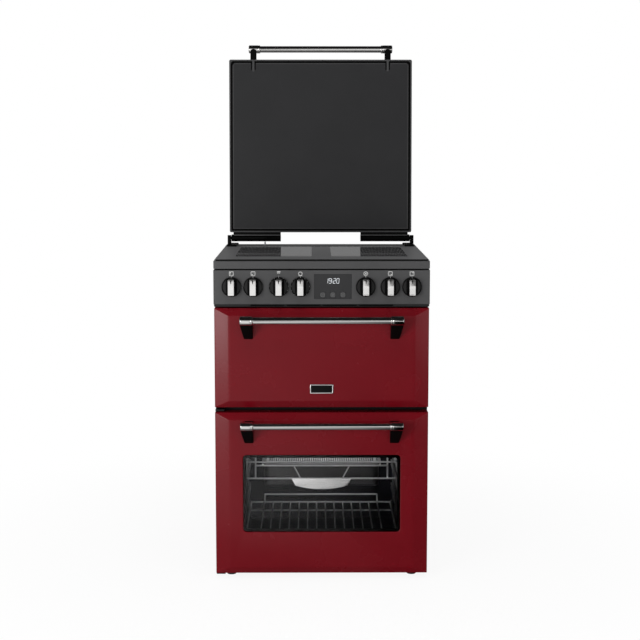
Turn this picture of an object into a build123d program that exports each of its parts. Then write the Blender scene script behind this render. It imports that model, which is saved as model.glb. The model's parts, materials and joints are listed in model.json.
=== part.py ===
from build123d import *
import math
import os

os.makedirs("parts", exist_ok=True)

# Driving sizes in millimetres. Depths run back from the fascia's face, heights up from the floor.

# Body
WIDTH = 600.0
DEPTH = 575.0
SHEET = 1.5
PANEL_SET_IN = 1.0
PANEL_FLANGE = 8.0
FIT = 0.3
RUN_FIT = 0.05
SMALL_GAP = 0.5
FOOT_HEIGHT = 22.0
FOOT_PAD = 26.0
FOOT_PAD_THICK = 7.0
FOOT_STEM = 10.0
FOOT_COLLAR = 22.0
FOOT_COLLAR_THICK = 3.0
FOOT_SET_IN = 42.0
FOOT_FRONT = 55.0
FOOT_REAR = 520.0
TRAY_SHEET = 2.0
TRAY_UPSTAND = 18.0
LOUVRE_WIDTH = 75.0
LOUVRE_HEIGHT = 6.0
LOUVRE_COLUMN = 95.0
LOUVRE_ROW = 16.0
LOUVRE_COUNT = 5
LOUVRE_LIFT = 20.0

# Heights up the front
DOOR_DROP = 4.0
MAIN_DOOR_HEIGHT = 462.0
DOOR_GAP = 15.0
TOP_DOOR_HEIGHT = 279.0
FASCIA_GAP = 11.0
FASCIA_HEIGHT = 95.0
HOB_GAP = 4.0
HOB_FRAME_HEIGHT = 21.0
GLASS_THICK = 5.0

# Doors
DOOR_WIDTH = 597.0
DOOR_THICK = 42.0
DOOR_SHEET = 1.2
PANEL_RAISE = 10.0
SIDE_BEVEL = 40.0
EDGE_BEVEL = 20.0
RIDGE_RADIUS = 2.0
FRAME_SET = 45.0
FRAME_SHEET = 2.0
WINDOW_WIDTH = 442.0
WINDOW_HEIGHT = 221.0
WINDOW_RISE = 122.0
WINDOW_CORNER = 10.0
PANE_THICK = 4.0
PANE_LAP = 6.0
INNER_WINDOW_WIDTH = 448.0
INNER_WINDOW_HEIGHT = 232.0
INNER_WINDOW_RISE = 106.0
INNER_PANE_LAP = 8.0

# Door handles
HANDLE_LENGTH = 451.0
BAR_DIAMETER = 20.0
FERRULE_DIAMETER = 25.0
FERRULE_LENGTH = 36.0
FERRULE_CHAMFER = 1.5
FERRULE_TAPER = 2.5
STANDOFF = 45.0
HANDLE_DROP = 28.0
BRACKET_TOP_WIDTH = 35.0
BRACKET_FOOT_WIDTH = 26.0
BRACKET_FOOT_DROP = 57.0
BRACKET_FRONT_DROP = 15.0
BRACKET_RISE = 6.0
BRACKET_CORNER = 3.0
BRACKET_INSET = 1.0

# Drop-down hinge of the top door
DROP_PIN_DEPTH = 7.0
DROP_PIN_RISE = 8.0
DROP_PIN_DIAMETER = 6.0
DROP_ARM_RADIUS = 4.5
DROP_ARM_WIDTH = 6.0
DROP_ARM_SET_IN = 14.5
DROP_BOSS_WIDTH = 12.5
DROP_NOTCH_GAP = 1.0
DROP_BOSS_GAP = 1.5
DROP_BOSS_FRONT = 5.5
DROP_BOSS_TOP = 8.0

# Side hinge of the main door, on the left
SIDE_PIN_DEPTH = 22.0
SIDE_PIN_SET_IN = 9.5
SIDE_PIN_DIAMETER = 8.0
SIDE_PIN_LENGTH = 20.0
SIDE_PLATE_THICK = 5.0
SIDE_PLATE_WIDTH = 25.0
SIDE_PLATE_FRONT = 9.0
SIDE_LEG_WIDTH = 15.0
SIDE_LEG_HEIGHT = 48.0
SIDE_LEG_THICK = 4.0
SIDE_BOSS_HALF = 7.5
SIDE_BOSS_FRONT = 12.0
SIDE_PLATE_SET_IN = 0.5
SIDE_UPPER_GAP = 2.5
SIDE_PIN_END_GAP = 1.0
SIDE_PIN_HOLE = 10.0

# Ovens
JAMB = 72.5
CAVITY_DEPTH = 423.0
CAVITY_CORNER = 12.0
MAIN_FLOOR_RISE = 23.0
MAIN_ROOF_DROP = 40.0
TOP_FLOOR_RISE = 45.0
TOP_ROOF_DROP = 39.0
WOOL = 19.0
SEAL_SET_OUT = 6.0
SEAL_WIDTH = 8.0
SEAL_GAP = 0.4

# Shelf rails and wire shelves
WIRE = 5.0
SHELF_WIRE = 6.0
BAR_WIRE = 3.6
RAIL_SET_IN = 6.5
UPRIGHT_SET_IN = 2.8
RAIL_FRONT = 62.0
RAIL_BACK = 398.0
UPRIGHT_FRONT = 110.0
UPRIGHT_BACK = 350.0
RAIL_PAIR = 13.0
MAIN_RAIL_LEVELS = (69.0, 125.0, 198.0, 251.0, 324.0)
TOP_RAIL_LEVELS = (35.0, 75.0, 115.0)
MAIN_SHELF_LEVEL = 69.0
TOP_SHELF_LEVEL = 75.0
SHELF_SIDE_SET_IN = 8.5
SHELF_FRONT = 75.0
SHELF_BACK = 410.0
SHELF_CROSS = 315.0
SHELF_BAR_PITCH = 27.0
SHELF_BAR_COUNT = 14
STOP_RISE = 25.0
SHELF_SAG = 1.0
BAR_LIFT = 1.0

# Rack, roasting tin and trivet on the main door
RACK_DEPTH = 75.0
RACK_HALF = 214.0
RACK_ARM_X = 189.0
RACK_UPPER_RISE = 303.0
RACK_LOWER_RISE = 255.0
RACK_ARM_RISE = 346.0
RACK_ARM_WIRE = 4.6
RACK_PLATE_TOP_HALF = 86.0
RACK_PLATE_FOOT_HALF = 75.0
RACK_PLATE_SIDE_DROP = 20.0
RACK_PLATE_DROP = 31.0
RACK_PLATE_THICK = 1.8
RACK_BRACE_TOP = 80.0
RACK_BRACE_FOOT = 60.0
LOOP_CLEAR = 1.0
TIN_WIDTH = 330.0
TIN_FRONT = 85.0
TIN_LENGTH = 165.0
TIN_DEPTH = 68.0
TIN_SHEET = 1.5
TIN_RIM = 7.0
TIN_CORNER = 16.0
TIN_FOOT_ROUND = 8.0
TIN_RISE = 229.0
TRIVET_DROP = 8.0
TRIVET_SHEET = 2.0
TRIVET_GAP = 3.0
TRIVET_SLOT_PITCH = 6.4
TRIVET_SLOT_WIDTH = 3.2
TRIVET_SLOT_COUNT = 48
TRIVET_LEG = 4.0
TRIVET_LEG_INSET = 20.0
TRIVET_BORDER = 8.0

# Fascia, knobs and clock
VENT_LIP_DROP = 7.0
VENT_LIP_DEPTH = 6.0
VENT_SLOT_PITCH = 100.5
VENT_SLOT_WIDTH = 95.0
VENT_SLOT_HEIGHT = 5.0
VENT_SLOT_CORNER = 1.5
KNOB_XS = (-250.0, -190.0, -119.0, -59.0, 122.0, 190.0, 250.0)
KNOB_RISE = 49.0
DISC_DIAMETER = 55.0
DISC_THICK = 6.0
DISC_DISH = 1.0
DISC_RIM = 3.0
DISC_ROUND = 1.5
GRIP_WIDTH = 19.6
GRIP_HEIGHT = 45.0
GRIP_PROUD = 23.0
GRIP_EDGE = 2.5
GRIP_CORNER = 3.0
POINTER_WIDTH = 2.4
POINTER_LENGTH = 9.0
POINTER_DEPTH = 0.8
SPINDLE_DIAMETER = 6.0
SPINDLE_REACH = 24.0
SPINDLE_HOLE = 8.0
SPINDLE_END_GAP = 1.0
SPINDLE_ROOT = 1.0
SWITCH_NECK = 10.0
SWITCH_NECK_LENGTH = 12.0
SWITCH_DIAMETER = 26.0
SWITCH_LENGTH = 18.0
CLOCK_X = 31.0
CLOCK_WIDTH = 104.0
CLOCK_HEIGHT = 69.0
CLOCK_RISE = 15.0
CLOCK_PROUD = 0.5
CLOCK_LAP = 3.0
BUTTON_SIZE = 14.0
BUTTON_CORNER = 4.0
BUTTON_ROUND = 0.8
BUTTON_PITCH = 28.0
BUTTON_RISE = 26.5
BUTTON_PROUD = 2.0
BUTTON_LENGTH = 7.0
BUTTON_STEM = 4.0
BUTTON_STEM_LENGTH = 4.0
BUTTON_TRAVEL = 1.2
BOARD_THICK = 1.6
KEY_GAP = 0.4
BOARD_SWITCH = 1.4
BOARD_POST = 5.0
BADGE_WIDTH = 66.0
BADGE_HEIGHT = 27.0
BADGE_BORDER = 4.5
BADGE_THICK = 2.5
BADGE_RECESS = 0.8
BADGE_CORNER = 2.0
BADGE_ROUND = 0.6
BADGE_RISE = 54.0

# Hob
HOB_CORNER = 6.0
GLASS_SET_IN = 2.5
GLASS_BACK = 462.0
GLASS_CHAMFER = 1.2
TRIM_GAP = 3.0
TRIM_THICK = 4.0
VENT_COUNT = 24
VENT_PITCH = 20.0
VENT_WIDTH = 15.0
VENT_LENGTH = 18.0
VENT_SET_BACK = 15.0
VENT_CORNER = 3.0
COIL_TRAY_WIDTH = 570.0
COIL_TRAY_FRONT = 12.0
COIL_TRAY_BACK = 455.0
COIL_TRAY_DEPTH = 15.0
COIL_WINDOW_MARGIN = 14.0
COIL_DIAMETER = 172.0
COIL_HOLE = 36.0
COIL_THICK = 12.0
ZONE_X = 126.5
ZONE_DEPTH = 276.5
COIL_PITCH = 178.0

# Lid
LID_LEAN = 3.0
HINGE_DEPTH = 555.0
HINGE_RISE = 20.0
LID_WIDTH = 573.0
LID_START = 18.0
LID_LENGTH = 540.8
LID_FACE = 15.0
LID_THICK = 9.0
LID_SHEET = 2.0
LID_CORNER = 5.0
LID_BORDER = 8.5
LID_GROOVE = 4.0
LINER_CORNER = 11.0
LINER_SET_BACK = 0.5
LINER_SHEET = 1.5
LINER_RIM = 40.0
TAB_X = 210.5
TAB_WIDTH = 7.0
TAB_LENGTH = 24.0
TAB_GROOVE = 3.4
LID_BAR_REACH = 592.3
LID_BAR_SET = -2.0
POST_WIDTH = 19.0
POST_FACE = 14.0
POST_THICK = 10.0
POST_FLANGE = 30.0
POST_FLANGE_THICK = 4.0
POST_FLANGE_DROP = 38.0
POST_FLANGE_LIP = 8.0
HINGE_BAR_DIAMETER = 22.0
HINGE_BAR_INNER = 126.0
HINGE_BAR_OUTER = 281.5
CLAMP_OUTER = 275.0
CLAMP_START = 11.0
CLAMP_BACK_THICK = 4.0
CLAMP_BACK_LENGTH = 38.0
CLAMP_LAP = 1.0
TUBE_WALL_BITE = 2.0
AXLE_DIAMETER = 10.0
AXLE_LENGTH = 100.0
HINGE_POST_OUTER = 294.0
HINGE_POST_WIDTH = 11.0
HINGE_POST_RADIUS = 9.0
HINGE_FOOT_WIDTH = 34.0
HINGE_FOOT_LENGTH = 38.0
HINGE_FOOT_HEIGHT = 5.0
HINGE_FOOT_CORNER = 4.0
HINGE_FOOT_ROUND = 3.0
CAM_X = -176.0
CAM_REACH = 14.0
CAM_HALF = 2.0
CAM_WIDTH = 10.0
SWITCH_PIN_DIAMETER = 5.0
SWITCH_PIN_GAP = 0.7
SWITCH_PIN_LENGTH = 34.0
SWITCH_PIN_CLEAR = 1.0
SWITCH_PIN_ROUND = 1.0

# Inside, behind and above the ovens
ELECTRONICS_SHEET = 1.5
ELECTRONICS_UPSTAND = 10.0
POWER_BOARD = (240.0, 200.0)
POWER_BOARD_X = -120.0
POWER_board_front = 220.0
POWER_BOARD_RISE = 8.0
BOARD_MARGIN = 8.0
STANDOFF_DIAMETER = 6.0
SINK_WIDTH = 80.0
SINK_MARGIN = 20.0
SINK_BASE = 6.0
SINK_HEIGHT = 26.0
SINK_FINS = 9
SINK_FIN_PITCH = 9.0
SINK_FIN_THICK = 2.0
CAPACITOR_DIAMETER = 26.0
CAPACITOR_HEIGHT = 36.0
CAPACITOR_PITCH = 45.0
CAPACITOR_COUNT = 3
CAPACITOR_MARGIN = 50.0
FAN_DEPTH = 440.0
FAN_WIDTH = 22.0
FAN_DIAMETER = 150.0
FAN_BLADES = 8
FAN_DISC = 1.5
FAN_BLADE_LENGTH = 63.0
FAN_BLADE_CENTRE = 41.0
FAN_SHAFT_GAP = 2.0
FAN_HUB = 24.0
FAN_SHAFT = 6.0
FAN_SHAFT_LENGTH = 60.0
MOTOR_DIAMETER = 70.0
MOTOR_LENGTH = 38.0
MOTOR_NECK = 30.0
MOTOR_CLEAR = 2.0
RING_DIAMETER = 200.0
RING_DEPTH = 452.0
ELEMENT_TUBE = 6.5
GRILL_PASSES = 6
GRILL_PITCH = 60.0
GRILL_FRONT = 90.0
GRILL_DROP = 14.0
GRILL_BACK = 30.0
GRILL_BEND = 24.0
BASE_LOOP_HALF = 150.0
BASE_LOOP_MARGIN = 60.0
BASE_LOOP_CORNER = 30.0
BASE_LOOP_POCKET = 9.0
COVER_WIDTH = 330.0
COVER_HEIGHT = 340.0
COVER_DEPTH = 428.0
COVER_SHEET = 1.2
GRILLE_PITCH = 18.0
GRILLE_RINGS = 3
GRILLE_HOLE = 8.0
COVER_VENT_LENGTH = 36.0
COVER_VENT_WIDTH = 20.0
COVER_VENT_PITCH = 50.0
COVER_VENT_COUNT = 6
BLOWER_X = 150.0
BLOWER_DEPTH = 470.0
BLOWER_DIAMETER = 150.0
BLOWER_HEIGHT = 50.0
BLOWER_INTAKE = 84.0
BLOWER_WHEEL = 120.0
BLOWER_BLADES = 18
BLOWER_BOSS = 30.0
BLOWER_BOSS_HEIGHT = 12.0
BLOWER_SHEET = 2.0
BLOWER_OUTLET = (10.0, 60.0)
BLOWER_OUTLET_LIP = 6.0
WHEEL_GAP = 1.5
WHEEL_SHEET = 2.0
WHEEL_BLADE = (14.0, 1.6)
WHEEL_BLADE_ANGLE = 25.0
WHEEL_BLADE_INSET = 10.0
WHEEL_BLADE_HEIGHT = 21.0
TERMINAL_X = -220.0
TERMINAL_RISE = 60.0
TERMINAL_SIZE = 80.0
TERMINAL_PROUD = 15.0
TERMINAL_WALL = 2.0
CABLE_HOLE = 44.0
CABLE_EDGE = 1.0
STABILITY_RISE = 700.0
STABILITY_SPACING = 60.0
STABILITY_HOLE = 6.0

# Heights worked out from the sizes
base_z = FOOT_HEIGHT
door_z = base_z - DOOR_DROP
main_top_z = door_z + MAIN_DOOR_HEIGHT
top_door_z = main_top_z + DOOR_GAP
top_top_z = top_door_z + TOP_DOOR_HEIGHT
fascia_z = top_top_z + FASCIA_GAP
fascia_top_z = fascia_z + FASCIA_HEIGHT
hob_z = fascia_top_z + HOB_GAP
frame_top_z = hob_z + HOB_FRAME_HEIGHT
glass_z = frame_top_z + GLASS_THICK
trim_z = frame_top_z + TRIM_THICK
hinge_z = glass_z + HINGE_RISE
main_floor_z = base_z + MAIN_FLOOR_RISE
main_roof_z = main_top_z - MAIN_ROOF_DROP
top_floor_z = top_door_z + TOP_FLOOR_RISE
top_roof_z = top_top_z - TOP_ROOF_DROP
fan_z = (main_floor_z + main_roof_z) / 2
main_bar_z = main_top_z - HANDLE_DROP
top_bar_z = top_top_z - HANDLE_DROP
knob_z = fascia_z + KNOB_RISE
clock_z = fascia_z + CLOCK_RISE + CLOCK_HEIGHT / 2

# Widths worked out from the sizes
half = WIDTH / 2
panel_x = half - PANEL_SET_IN
inner_x = panel_x - SHEET - FIT
door_x = DOOR_WIDTH / 2
cavity_x = door_x - JAMB
side_pin_x = -(door_x - SIDE_PIN_SET_IN)

# Depths worked out from the sizes
frame_back = FRAME_SET + FRAME_SHEET
inner_front = frame_back + SHEET + FIT
inner_back = DEPTH - 2 * SHEET - FIT
cavity_back = frame_back + CAVITY_DEPTH
raised_face = -PANEL_RAISE
bar_depth = raised_face - STANDOFF
skin_back = raised_face + DOOR_SHEET
stem_start = BUTTON_LENGTH - BUTTON_PROUD
stem_end = stem_start + BUTTON_STEM_LENGTH
board_front = stem_end + BUTTON_TRAVEL + KEY_GAP + BOARD_SWITCH
plate_front = DOOR_THICK - SHEET
lean = math.radians(LID_LEAN)
lid_bar_depth = HINGE_DEPTH + LID_BAR_REACH * math.sin(lean) - LID_BAR_SET * math.cos(lean)

# The origin stands under the middle of the whole cooker, handles and leaning lid included
front_reach = FERRULE_DIAMETER / 2 - bar_depth
rear_reach = max(lid_bar_depth + FERRULE_DIAMETER / 2, DEPTH + TERMINAL_PROUD)
FRONT_Y = (front_reach - rear_reach) / 2


def at(depth):
    """Y of a depth behind the fascia's face."""
    return FRONT_Y + depth


def facing(depth):
    """Plane seen from the front at a depth: its own x and y are X and Z, and it points forwards."""
    return Plane.XZ.offset(-at(depth))


def sideways(x):
    """Plane seen from the right at a width: its own x and y are Y and Z, and it points right."""
    return Plane.YZ.offset(x)


def level(z):
    """Plane seen from above at a height."""
    return Plane.XY.offset(z)


def block(x0, x1, d0, d1, z0, z1, mode=Mode.ADD):
    """Square-cornered block between two widths, depths and heights, in the part being built."""
    with BuildSketch(level(z0)) as outline:
        with Locations(((x0 + x1) / 2, at((d0 + d1) / 2))):
            Rectangle(x1 - x0, d1 - d0)
    extrude(outline.sketch, amount=z1 - z0, mode=mode)


def rod(start, end, diameter, mode=Mode.ADD):
    """Round rod between two points given as width, depth and height, in the part being built."""
    start = Vector(start[0], at(start[1]), start[2])
    end = Vector(end[0], at(end[1]), end[2])
    with BuildSketch(Plane(origin=start, z_dir=end - start)) as outline:
        Circle(diameter / 2)
    extrude(outline.sketch, amount=(end - start).length, mode=mode)


def save(piece, name):
    """Label a finished piece and write it to its own file."""
    piece.part.label = name
    export_step(piece.part, f"parts/{name}.step")


# Side panels: one sheet each side, folded in at the front and the back
with BuildPart() as side_panels:
    for side in (-1, 1):
        with BuildSketch(level(base_z)):
            with Locations((side * (panel_x - SHEET / 2), at((FRAME_SET + DEPTH) / 2))):
                Rectangle(SHEET, DEPTH - FRAME_SET)
            for fold in (frame_back + SHEET / 2, DEPTH - SHEET * 1.5):
                with Locations((side * (panel_x - PANEL_FLANGE / 2), at(fold))):
                    Rectangle(PANEL_FLANGE, SHEET)
        extrude(amount=hob_z - base_z)
save(side_panels, "side_panels")

# Back panel with louvres, the cable hole and the holes for a stability bracket
with BuildPart() as back_panel:
    with BuildSketch(facing(DEPTH)):
        with Locations((0, (base_z + hob_z) / 2)):
            Rectangle(2 * inner_x, hob_z - base_z)
        for louvre_z in (fan_z, (top_roof_z + hob_z) / 2 + LOUVRE_LIFT):
            with Locations((0, louvre_z)):
                with GridLocations(LOUVRE_COLUMN, LOUVRE_ROW, LOUVRE_COUNT, LOUVRE_COUNT):
                    SlotOverall(LOUVRE_WIDTH, LOUVRE_HEIGHT, mode=Mode.SUBTRACT)
        with Locations((TERMINAL_X, TERMINAL_RISE + TERMINAL_SIZE / 2)):
            Circle(CABLE_HOLE / 2, mode=Mode.SUBTRACT)
        with Locations((0, STABILITY_RISE)):
            with GridLocations(STABILITY_SPACING, 0, 2, 1):
                Circle(STABILITY_HOLE / 2, mode=Mode.SUBTRACT)
    extrude(amount=SHEET)
save(back_panel, "back_panel")

# Base tray with upstands at the sides and the back
with BuildPart() as base_tray:
    tray_front = frame_back + SIDE_LEG_THICK + FIT
    block(-inner_x, inner_x, tray_front, inner_back, base_z, base_z + TRAY_UPSTAND)
    block(
        TRAY_SHEET - inner_x,
        inner_x - TRAY_SHEET,
        tray_front,
        inner_back - TRAY_SHEET,
        base_z + TRAY_SHEET,
        base_z + TRAY_UPSTAND,
        Mode.SUBTRACT,
    )
save(base_tray, "base_tray")

# Four levelling feet: pad, stem and collar under the tray
with BuildPart() as levelling_feet:
    for side in (-1, 1):
        for foot_depth in (FOOT_FRONT, FOOT_REAR):
            foot_x = side * (half - FOOT_SET_IN)
            rod((foot_x, foot_depth, 0), (foot_x, foot_depth, FOOT_PAD_THICK), FOOT_PAD)
            rod((foot_x, foot_depth, 0), (foot_x, foot_depth, base_z), FOOT_STEM)
            collar_z = base_z - FOOT_COLLAR_THICK
            rod((foot_x, foot_depth, collar_z), (foot_x, foot_depth, base_z), FOOT_COLLAR)
save(levelling_feet, "levelling_feet")

# Front frame with the two oven mouths
with BuildPart() as front_frame:
    with BuildSketch(facing(FRAME_SET)):
        with Locations((0, (base_z + fascia_top_z) / 2)):
            Rectangle(2 * inner_x, fascia_top_z - base_z)
        for floor_z, roof_z in ((main_floor_z, main_roof_z), (top_floor_z, top_roof_z)):
            with Locations((0, (floor_z + roof_z) / 2)):
                RectangleRounded(2 * cavity_x, roof_z - floor_z, CAVITY_CORNER, mode=Mode.SUBTRACT)
    extrude(amount=-FRAME_SHEET)
save(front_frame, "front_frame")

# Door seals: a flat-backed ring round each mouth
with BuildPart() as door_seals:
    seal_thick = FRAME_SET - DOOR_THICK - SEAL_GAP
    for floor_z, roof_z in ((main_floor_z, main_roof_z), (top_floor_z, top_roof_z)):
        with BuildSketch(facing(FRAME_SET)):
            with Locations((0, (floor_z + roof_z) / 2)):
                grown = SEAL_SET_OUT + SEAL_WIDTH
                RectangleRounded(
                    2 * (cavity_x + grown), roof_z - floor_z + 2 * grown, CAVITY_CORNER + grown
                )
                RectangleRounded(
                    2 * (cavity_x + SEAL_SET_OUT),
                    roof_z - floor_z + 2 * SEAL_SET_OUT,
                    CAVITY_CORNER + SEAL_SET_OUT,
                    mode=Mode.SUBTRACT,
                )
        extrude(amount=seal_thick)
    fillet(door_seals.faces().group_by(Axis.Y)[0].edges(), seal_thick * 0.4)
save(door_seals, "door_seals")


def liner(floor_z, roof_z, shaft_z=None):
    """Enamelled oven box, open at the front, with a hole at the back where a fan shaft passes."""
    with BuildPart() as box:
        with BuildSketch(facing(frame_back)):
            with Locations((0, (floor_z + roof_z) / 2)):
                RectangleRounded(
                    2 * (cavity_x + SHEET), roof_z - floor_z + 2 * SHEET, CAVITY_CORNER + SHEET
                )
        extrude(amount=-(CAVITY_DEPTH + SHEET))
        with BuildSketch(facing(frame_back)):
            with Locations((0, (floor_z + roof_z) / 2)):
                RectangleRounded(2 * cavity_x, roof_z - floor_z, CAVITY_CORNER)
        extrude(amount=-CAVITY_DEPTH, mode=Mode.SUBTRACT)
        if shaft_z:
            with BuildSketch(facing(cavity_back)):
                with Locations((0, shaft_z)):
                    Circle(FAN_SHAFT)
            extrude(amount=-SHEET, mode=Mode.SUBTRACT)
    return box


main_liner = liner(main_floor_z, main_roof_z, fan_z)
save(main_liner, "main_liner")
top_liner = liner(top_floor_z, top_roof_z)
save(top_liner, "top_liner")

# Insulation: a blanket round the sides and back of each liner
with BuildPart() as insulation:
    for floor_z, roof_z in ((main_floor_z, main_roof_z), (top_floor_z, top_roof_z)):
        grown = SHEET + WOOL
        block(
            -cavity_x - grown,
            cavity_x + grown,
            frame_back,
            cavity_back + grown,
            floor_z - grown,
            roof_z + grown,
        )
        with BuildSketch(facing(frame_back)):
            with Locations((0, (floor_z + roof_z) / 2)):
                RectangleRounded(
                    2 * (cavity_x + SHEET), roof_z - floor_z + 2 * SHEET, CAVITY_CORNER + SHEET
                )
        extrude(amount=-(CAVITY_DEPTH + SHEET), mode=Mode.SUBTRACT)
    neck_hole = MOTOR_NECK + 2 * MOTOR_CLEAR
    rod((0, cavity_back, fan_z), (0, cavity_back + 2 * WOOL, fan_z), neck_hole, Mode.SUBTRACT)
    pocket_x = BASE_LOOP_HALF + BASE_LOOP_POCKET
    pocket_d = (frame_back + BASE_LOOP_MARGIN - BASE_LOOP_POCKET, cavity_back + SHEET)
    pocket_top = top_floor_z - SHEET
    block(-pocket_x, pocket_x, *pocket_d, pocket_top - BASE_LOOP_POCKET, pocket_top, Mode.SUBTRACT)
save(insulation, "insulation")

# Shelf rails: a ladder of paired wires on each side wall of each oven
with BuildPart() as shelf_rails:
    for floor_z, levels in ((main_floor_z, MAIN_RAIL_LEVELS), (top_floor_z, TOP_RAIL_LEVELS)):
        for side in (-1, 1):
            upright_x = side * (cavity_x - UPRIGHT_SET_IN)
            rail_x = side * (cavity_x - RAIL_SET_IN)
            low = floor_z + levels[0] - RAIL_PAIR
            high = floor_z + levels[-1] + RAIL_PAIR
            for upright in (UPRIGHT_FRONT, UPRIGHT_BACK):
                rod((upright_x, upright, low), (upright_x, upright, high), WIRE)
            for rise in levels:
                for wire_z in (floor_z + rise - RAIL_PAIR / 2, floor_z + rise + RAIL_PAIR / 2):
                    rod((rail_x, RAIL_FRONT, wire_z), (rail_x, RAIL_BACK, wire_z), WIRE)
save(shelf_rails, "shelf_rails")

# Wire shelves: side and cross wires, front-to-back bars and a raised stop at the back
with BuildPart() as oven_shelves:
    shelf_x = cavity_x - SHELF_SIDE_SET_IN
    bar_reach = SHELF_BAR_PITCH * (SHELF_BAR_COUNT - 1) / 2
    for seat_z in (main_floor_z + MAIN_SHELF_LEVEL, top_floor_z + TOP_SHELF_LEVEL):
        shelf_z = seat_z - SHELF_SAG
        bar_z = shelf_z + BAR_LIFT
        for side in (-1, 1):
            rod((side * shelf_x, SHELF_FRONT, shelf_z), (side * shelf_x, SHELF_BACK, shelf_z), SHELF_WIRE)
            stop_x = side * bar_reach
            rod((stop_x, SHELF_BACK, shelf_z), (stop_x, SHELF_BACK, shelf_z + STOP_RISE), WIRE)
        for cross in (SHELF_FRONT, SHELF_CROSS, SHELF_BACK):
            rod((-shelf_x, cross, shelf_z), (shelf_x, cross, shelf_z), WIRE)
        stop_z = shelf_z + STOP_RISE
        rod((-bar_reach, SHELF_BACK, stop_z), (bar_reach, SHELF_BACK, stop_z), WIRE)
        for count in range(SHELF_BAR_COUNT):
            bar_x = SHELF_BAR_PITCH * count - bar_reach
            rod((bar_x, SHELF_FRONT, bar_z), (bar_x, SHELF_BACK, bar_z), BAR_WIRE)
save(oven_shelves, "oven_shelves")

# Heating elements: the grill's bends and the base loop of the top oven, and the ring round the fan
with BuildPart() as heating_elements:
    grill_z = top_roof_z - GRILL_DROP
    first_x = -GRILL_PITCH * (GRILL_PASSES - 1) / 2
    grill_back = cavity_back - GRILL_BACK
    corners = [(first_x, at(cavity_back))]
    for count in range(GRILL_PASSES):
        ends = (GRILL_FRONT, grill_back) if count % 2 else (grill_back, GRILL_FRONT)
        if count == 0:
            ends = (GRILL_FRONT,)
        elif count % 2:
            ends = (GRILL_FRONT, cavity_back if count == GRILL_PASSES - 1 else grill_back)
        for end in ends:
            corners.append((first_x + count * GRILL_PITCH, at(end)))
    with BuildLine(level(grill_z)) as bends:
        FilletPolyline(*corners, radius=GRILL_BEND)
    with BuildSketch(Plane(origin=bends.line @ 0, z_dir=bends.line % 0)):
        Circle(ELEMENT_TUBE / 2)
    sweep(path=bends.line)
    loop_d0 = frame_back + BASE_LOOP_MARGIN
    loop_d1 = cavity_back + SHEET
    loop_z = top_floor_z - SHEET - ELEMENT_TUBE / 2 - FIT
    with BuildLine(level(loop_z)) as loop:
        FilletPolyline(
            (-BASE_LOOP_HALF, at(loop_d1)),
            (-BASE_LOOP_HALF, at(loop_d0)),
            (BASE_LOOP_HALF, at(loop_d0)),
            (BASE_LOOP_HALF, at(loop_d1)),
            radius=BASE_LOOP_CORNER,
        )
    with BuildSketch(Plane(origin=loop.line @ 0, z_dir=loop.line % 0)):
        Circle(ELEMENT_TUBE / 2)
    sweep(path=loop.line)
    with BuildSketch(sideways(0)):
        with Locations((at(RING_DEPTH), fan_z + RING_DIAMETER / 2)):
            Circle(ELEMENT_TUBE / 2)
    revolve(axis=Axis((0, at(RING_DEPTH), fan_z), (0, 1, 0)))
    for side in (-1, 1):
        leg_x = side * RING_DIAMETER / 2
        rod((leg_x, RING_DEPTH, fan_z), (leg_x, cavity_back, fan_z), ELEMENT_TUBE)
save(heating_elements, "heating_elements")

# Fan cover: a pressed box on the back wall with a round grille and open sides
with BuildPart() as fan_cover:
    cover_x = COVER_WIDTH / 2
    cover_low = fan_z - COVER_HEIGHT / 2
    cover_high = fan_z + COVER_HEIGHT / 2
    block(-cover_x, cover_x, COVER_DEPTH, cavity_back, cover_low, cover_high)
    block(
        COVER_SHEET - cover_x,
        cover_x - COVER_SHEET,
        COVER_DEPTH + COVER_SHEET,
        cavity_back,
        cover_low + COVER_SHEET,
        cover_high - COVER_SHEET,
        Mode.SUBTRACT,
    )
    with BuildSketch(facing(COVER_DEPTH)):
        for ring in range(1, GRILLE_RINGS + 1):
            with Locations((0, fan_z)):
                with PolarLocations(GRILLE_PITCH * ring, 8 * ring):
                    Circle(GRILLE_HOLE / 2)
        with Locations((0, fan_z)):
            Circle(GRILLE_HOLE / 2)
    extrude(amount=-COVER_SHEET, mode=Mode.SUBTRACT)
    with BuildSketch(sideways(-cover_x)):
        with Locations((at((COVER_DEPTH + cavity_back) / 2), fan_z)):
            with GridLocations(0, COVER_VENT_PITCH, 1, COVER_VENT_COUNT):
                Rectangle(COVER_VENT_WIDTH, COVER_VENT_LENGTH)
    extrude(amount=COVER_WIDTH, mode=Mode.SUBTRACT)
save(fan_cover, "fan_cover")

# Convection fan: disc, hub, flat blades and its shaft through the back wall
with BuildPart() as convection_fan:
    fan_back = FAN_DEPTH + FAN_WIDTH
    rod((0, fan_back - FAN_DISC, fan_z), (0, fan_back, fan_z), FAN_DIAMETER)
    rod((0, FAN_DEPTH, fan_z), (0, fan_back, fan_z), FAN_HUB)
    with BuildSketch(facing(fan_back - FAN_DISC / 2)):
        with Locations((0, fan_z)):
            with PolarLocations(FAN_BLADE_CENTRE, FAN_BLADES):
                Rectangle(FAN_BLADE_LENGTH, FAN_DISC)
    extrude(amount=FAN_WIDTH - FAN_DISC)
    rod((0, fan_back, fan_z), (0, FAN_DEPTH + FAN_SHAFT_LENGTH, fan_z), FAN_SHAFT)
save(convection_fan, "convection_fan")

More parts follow.
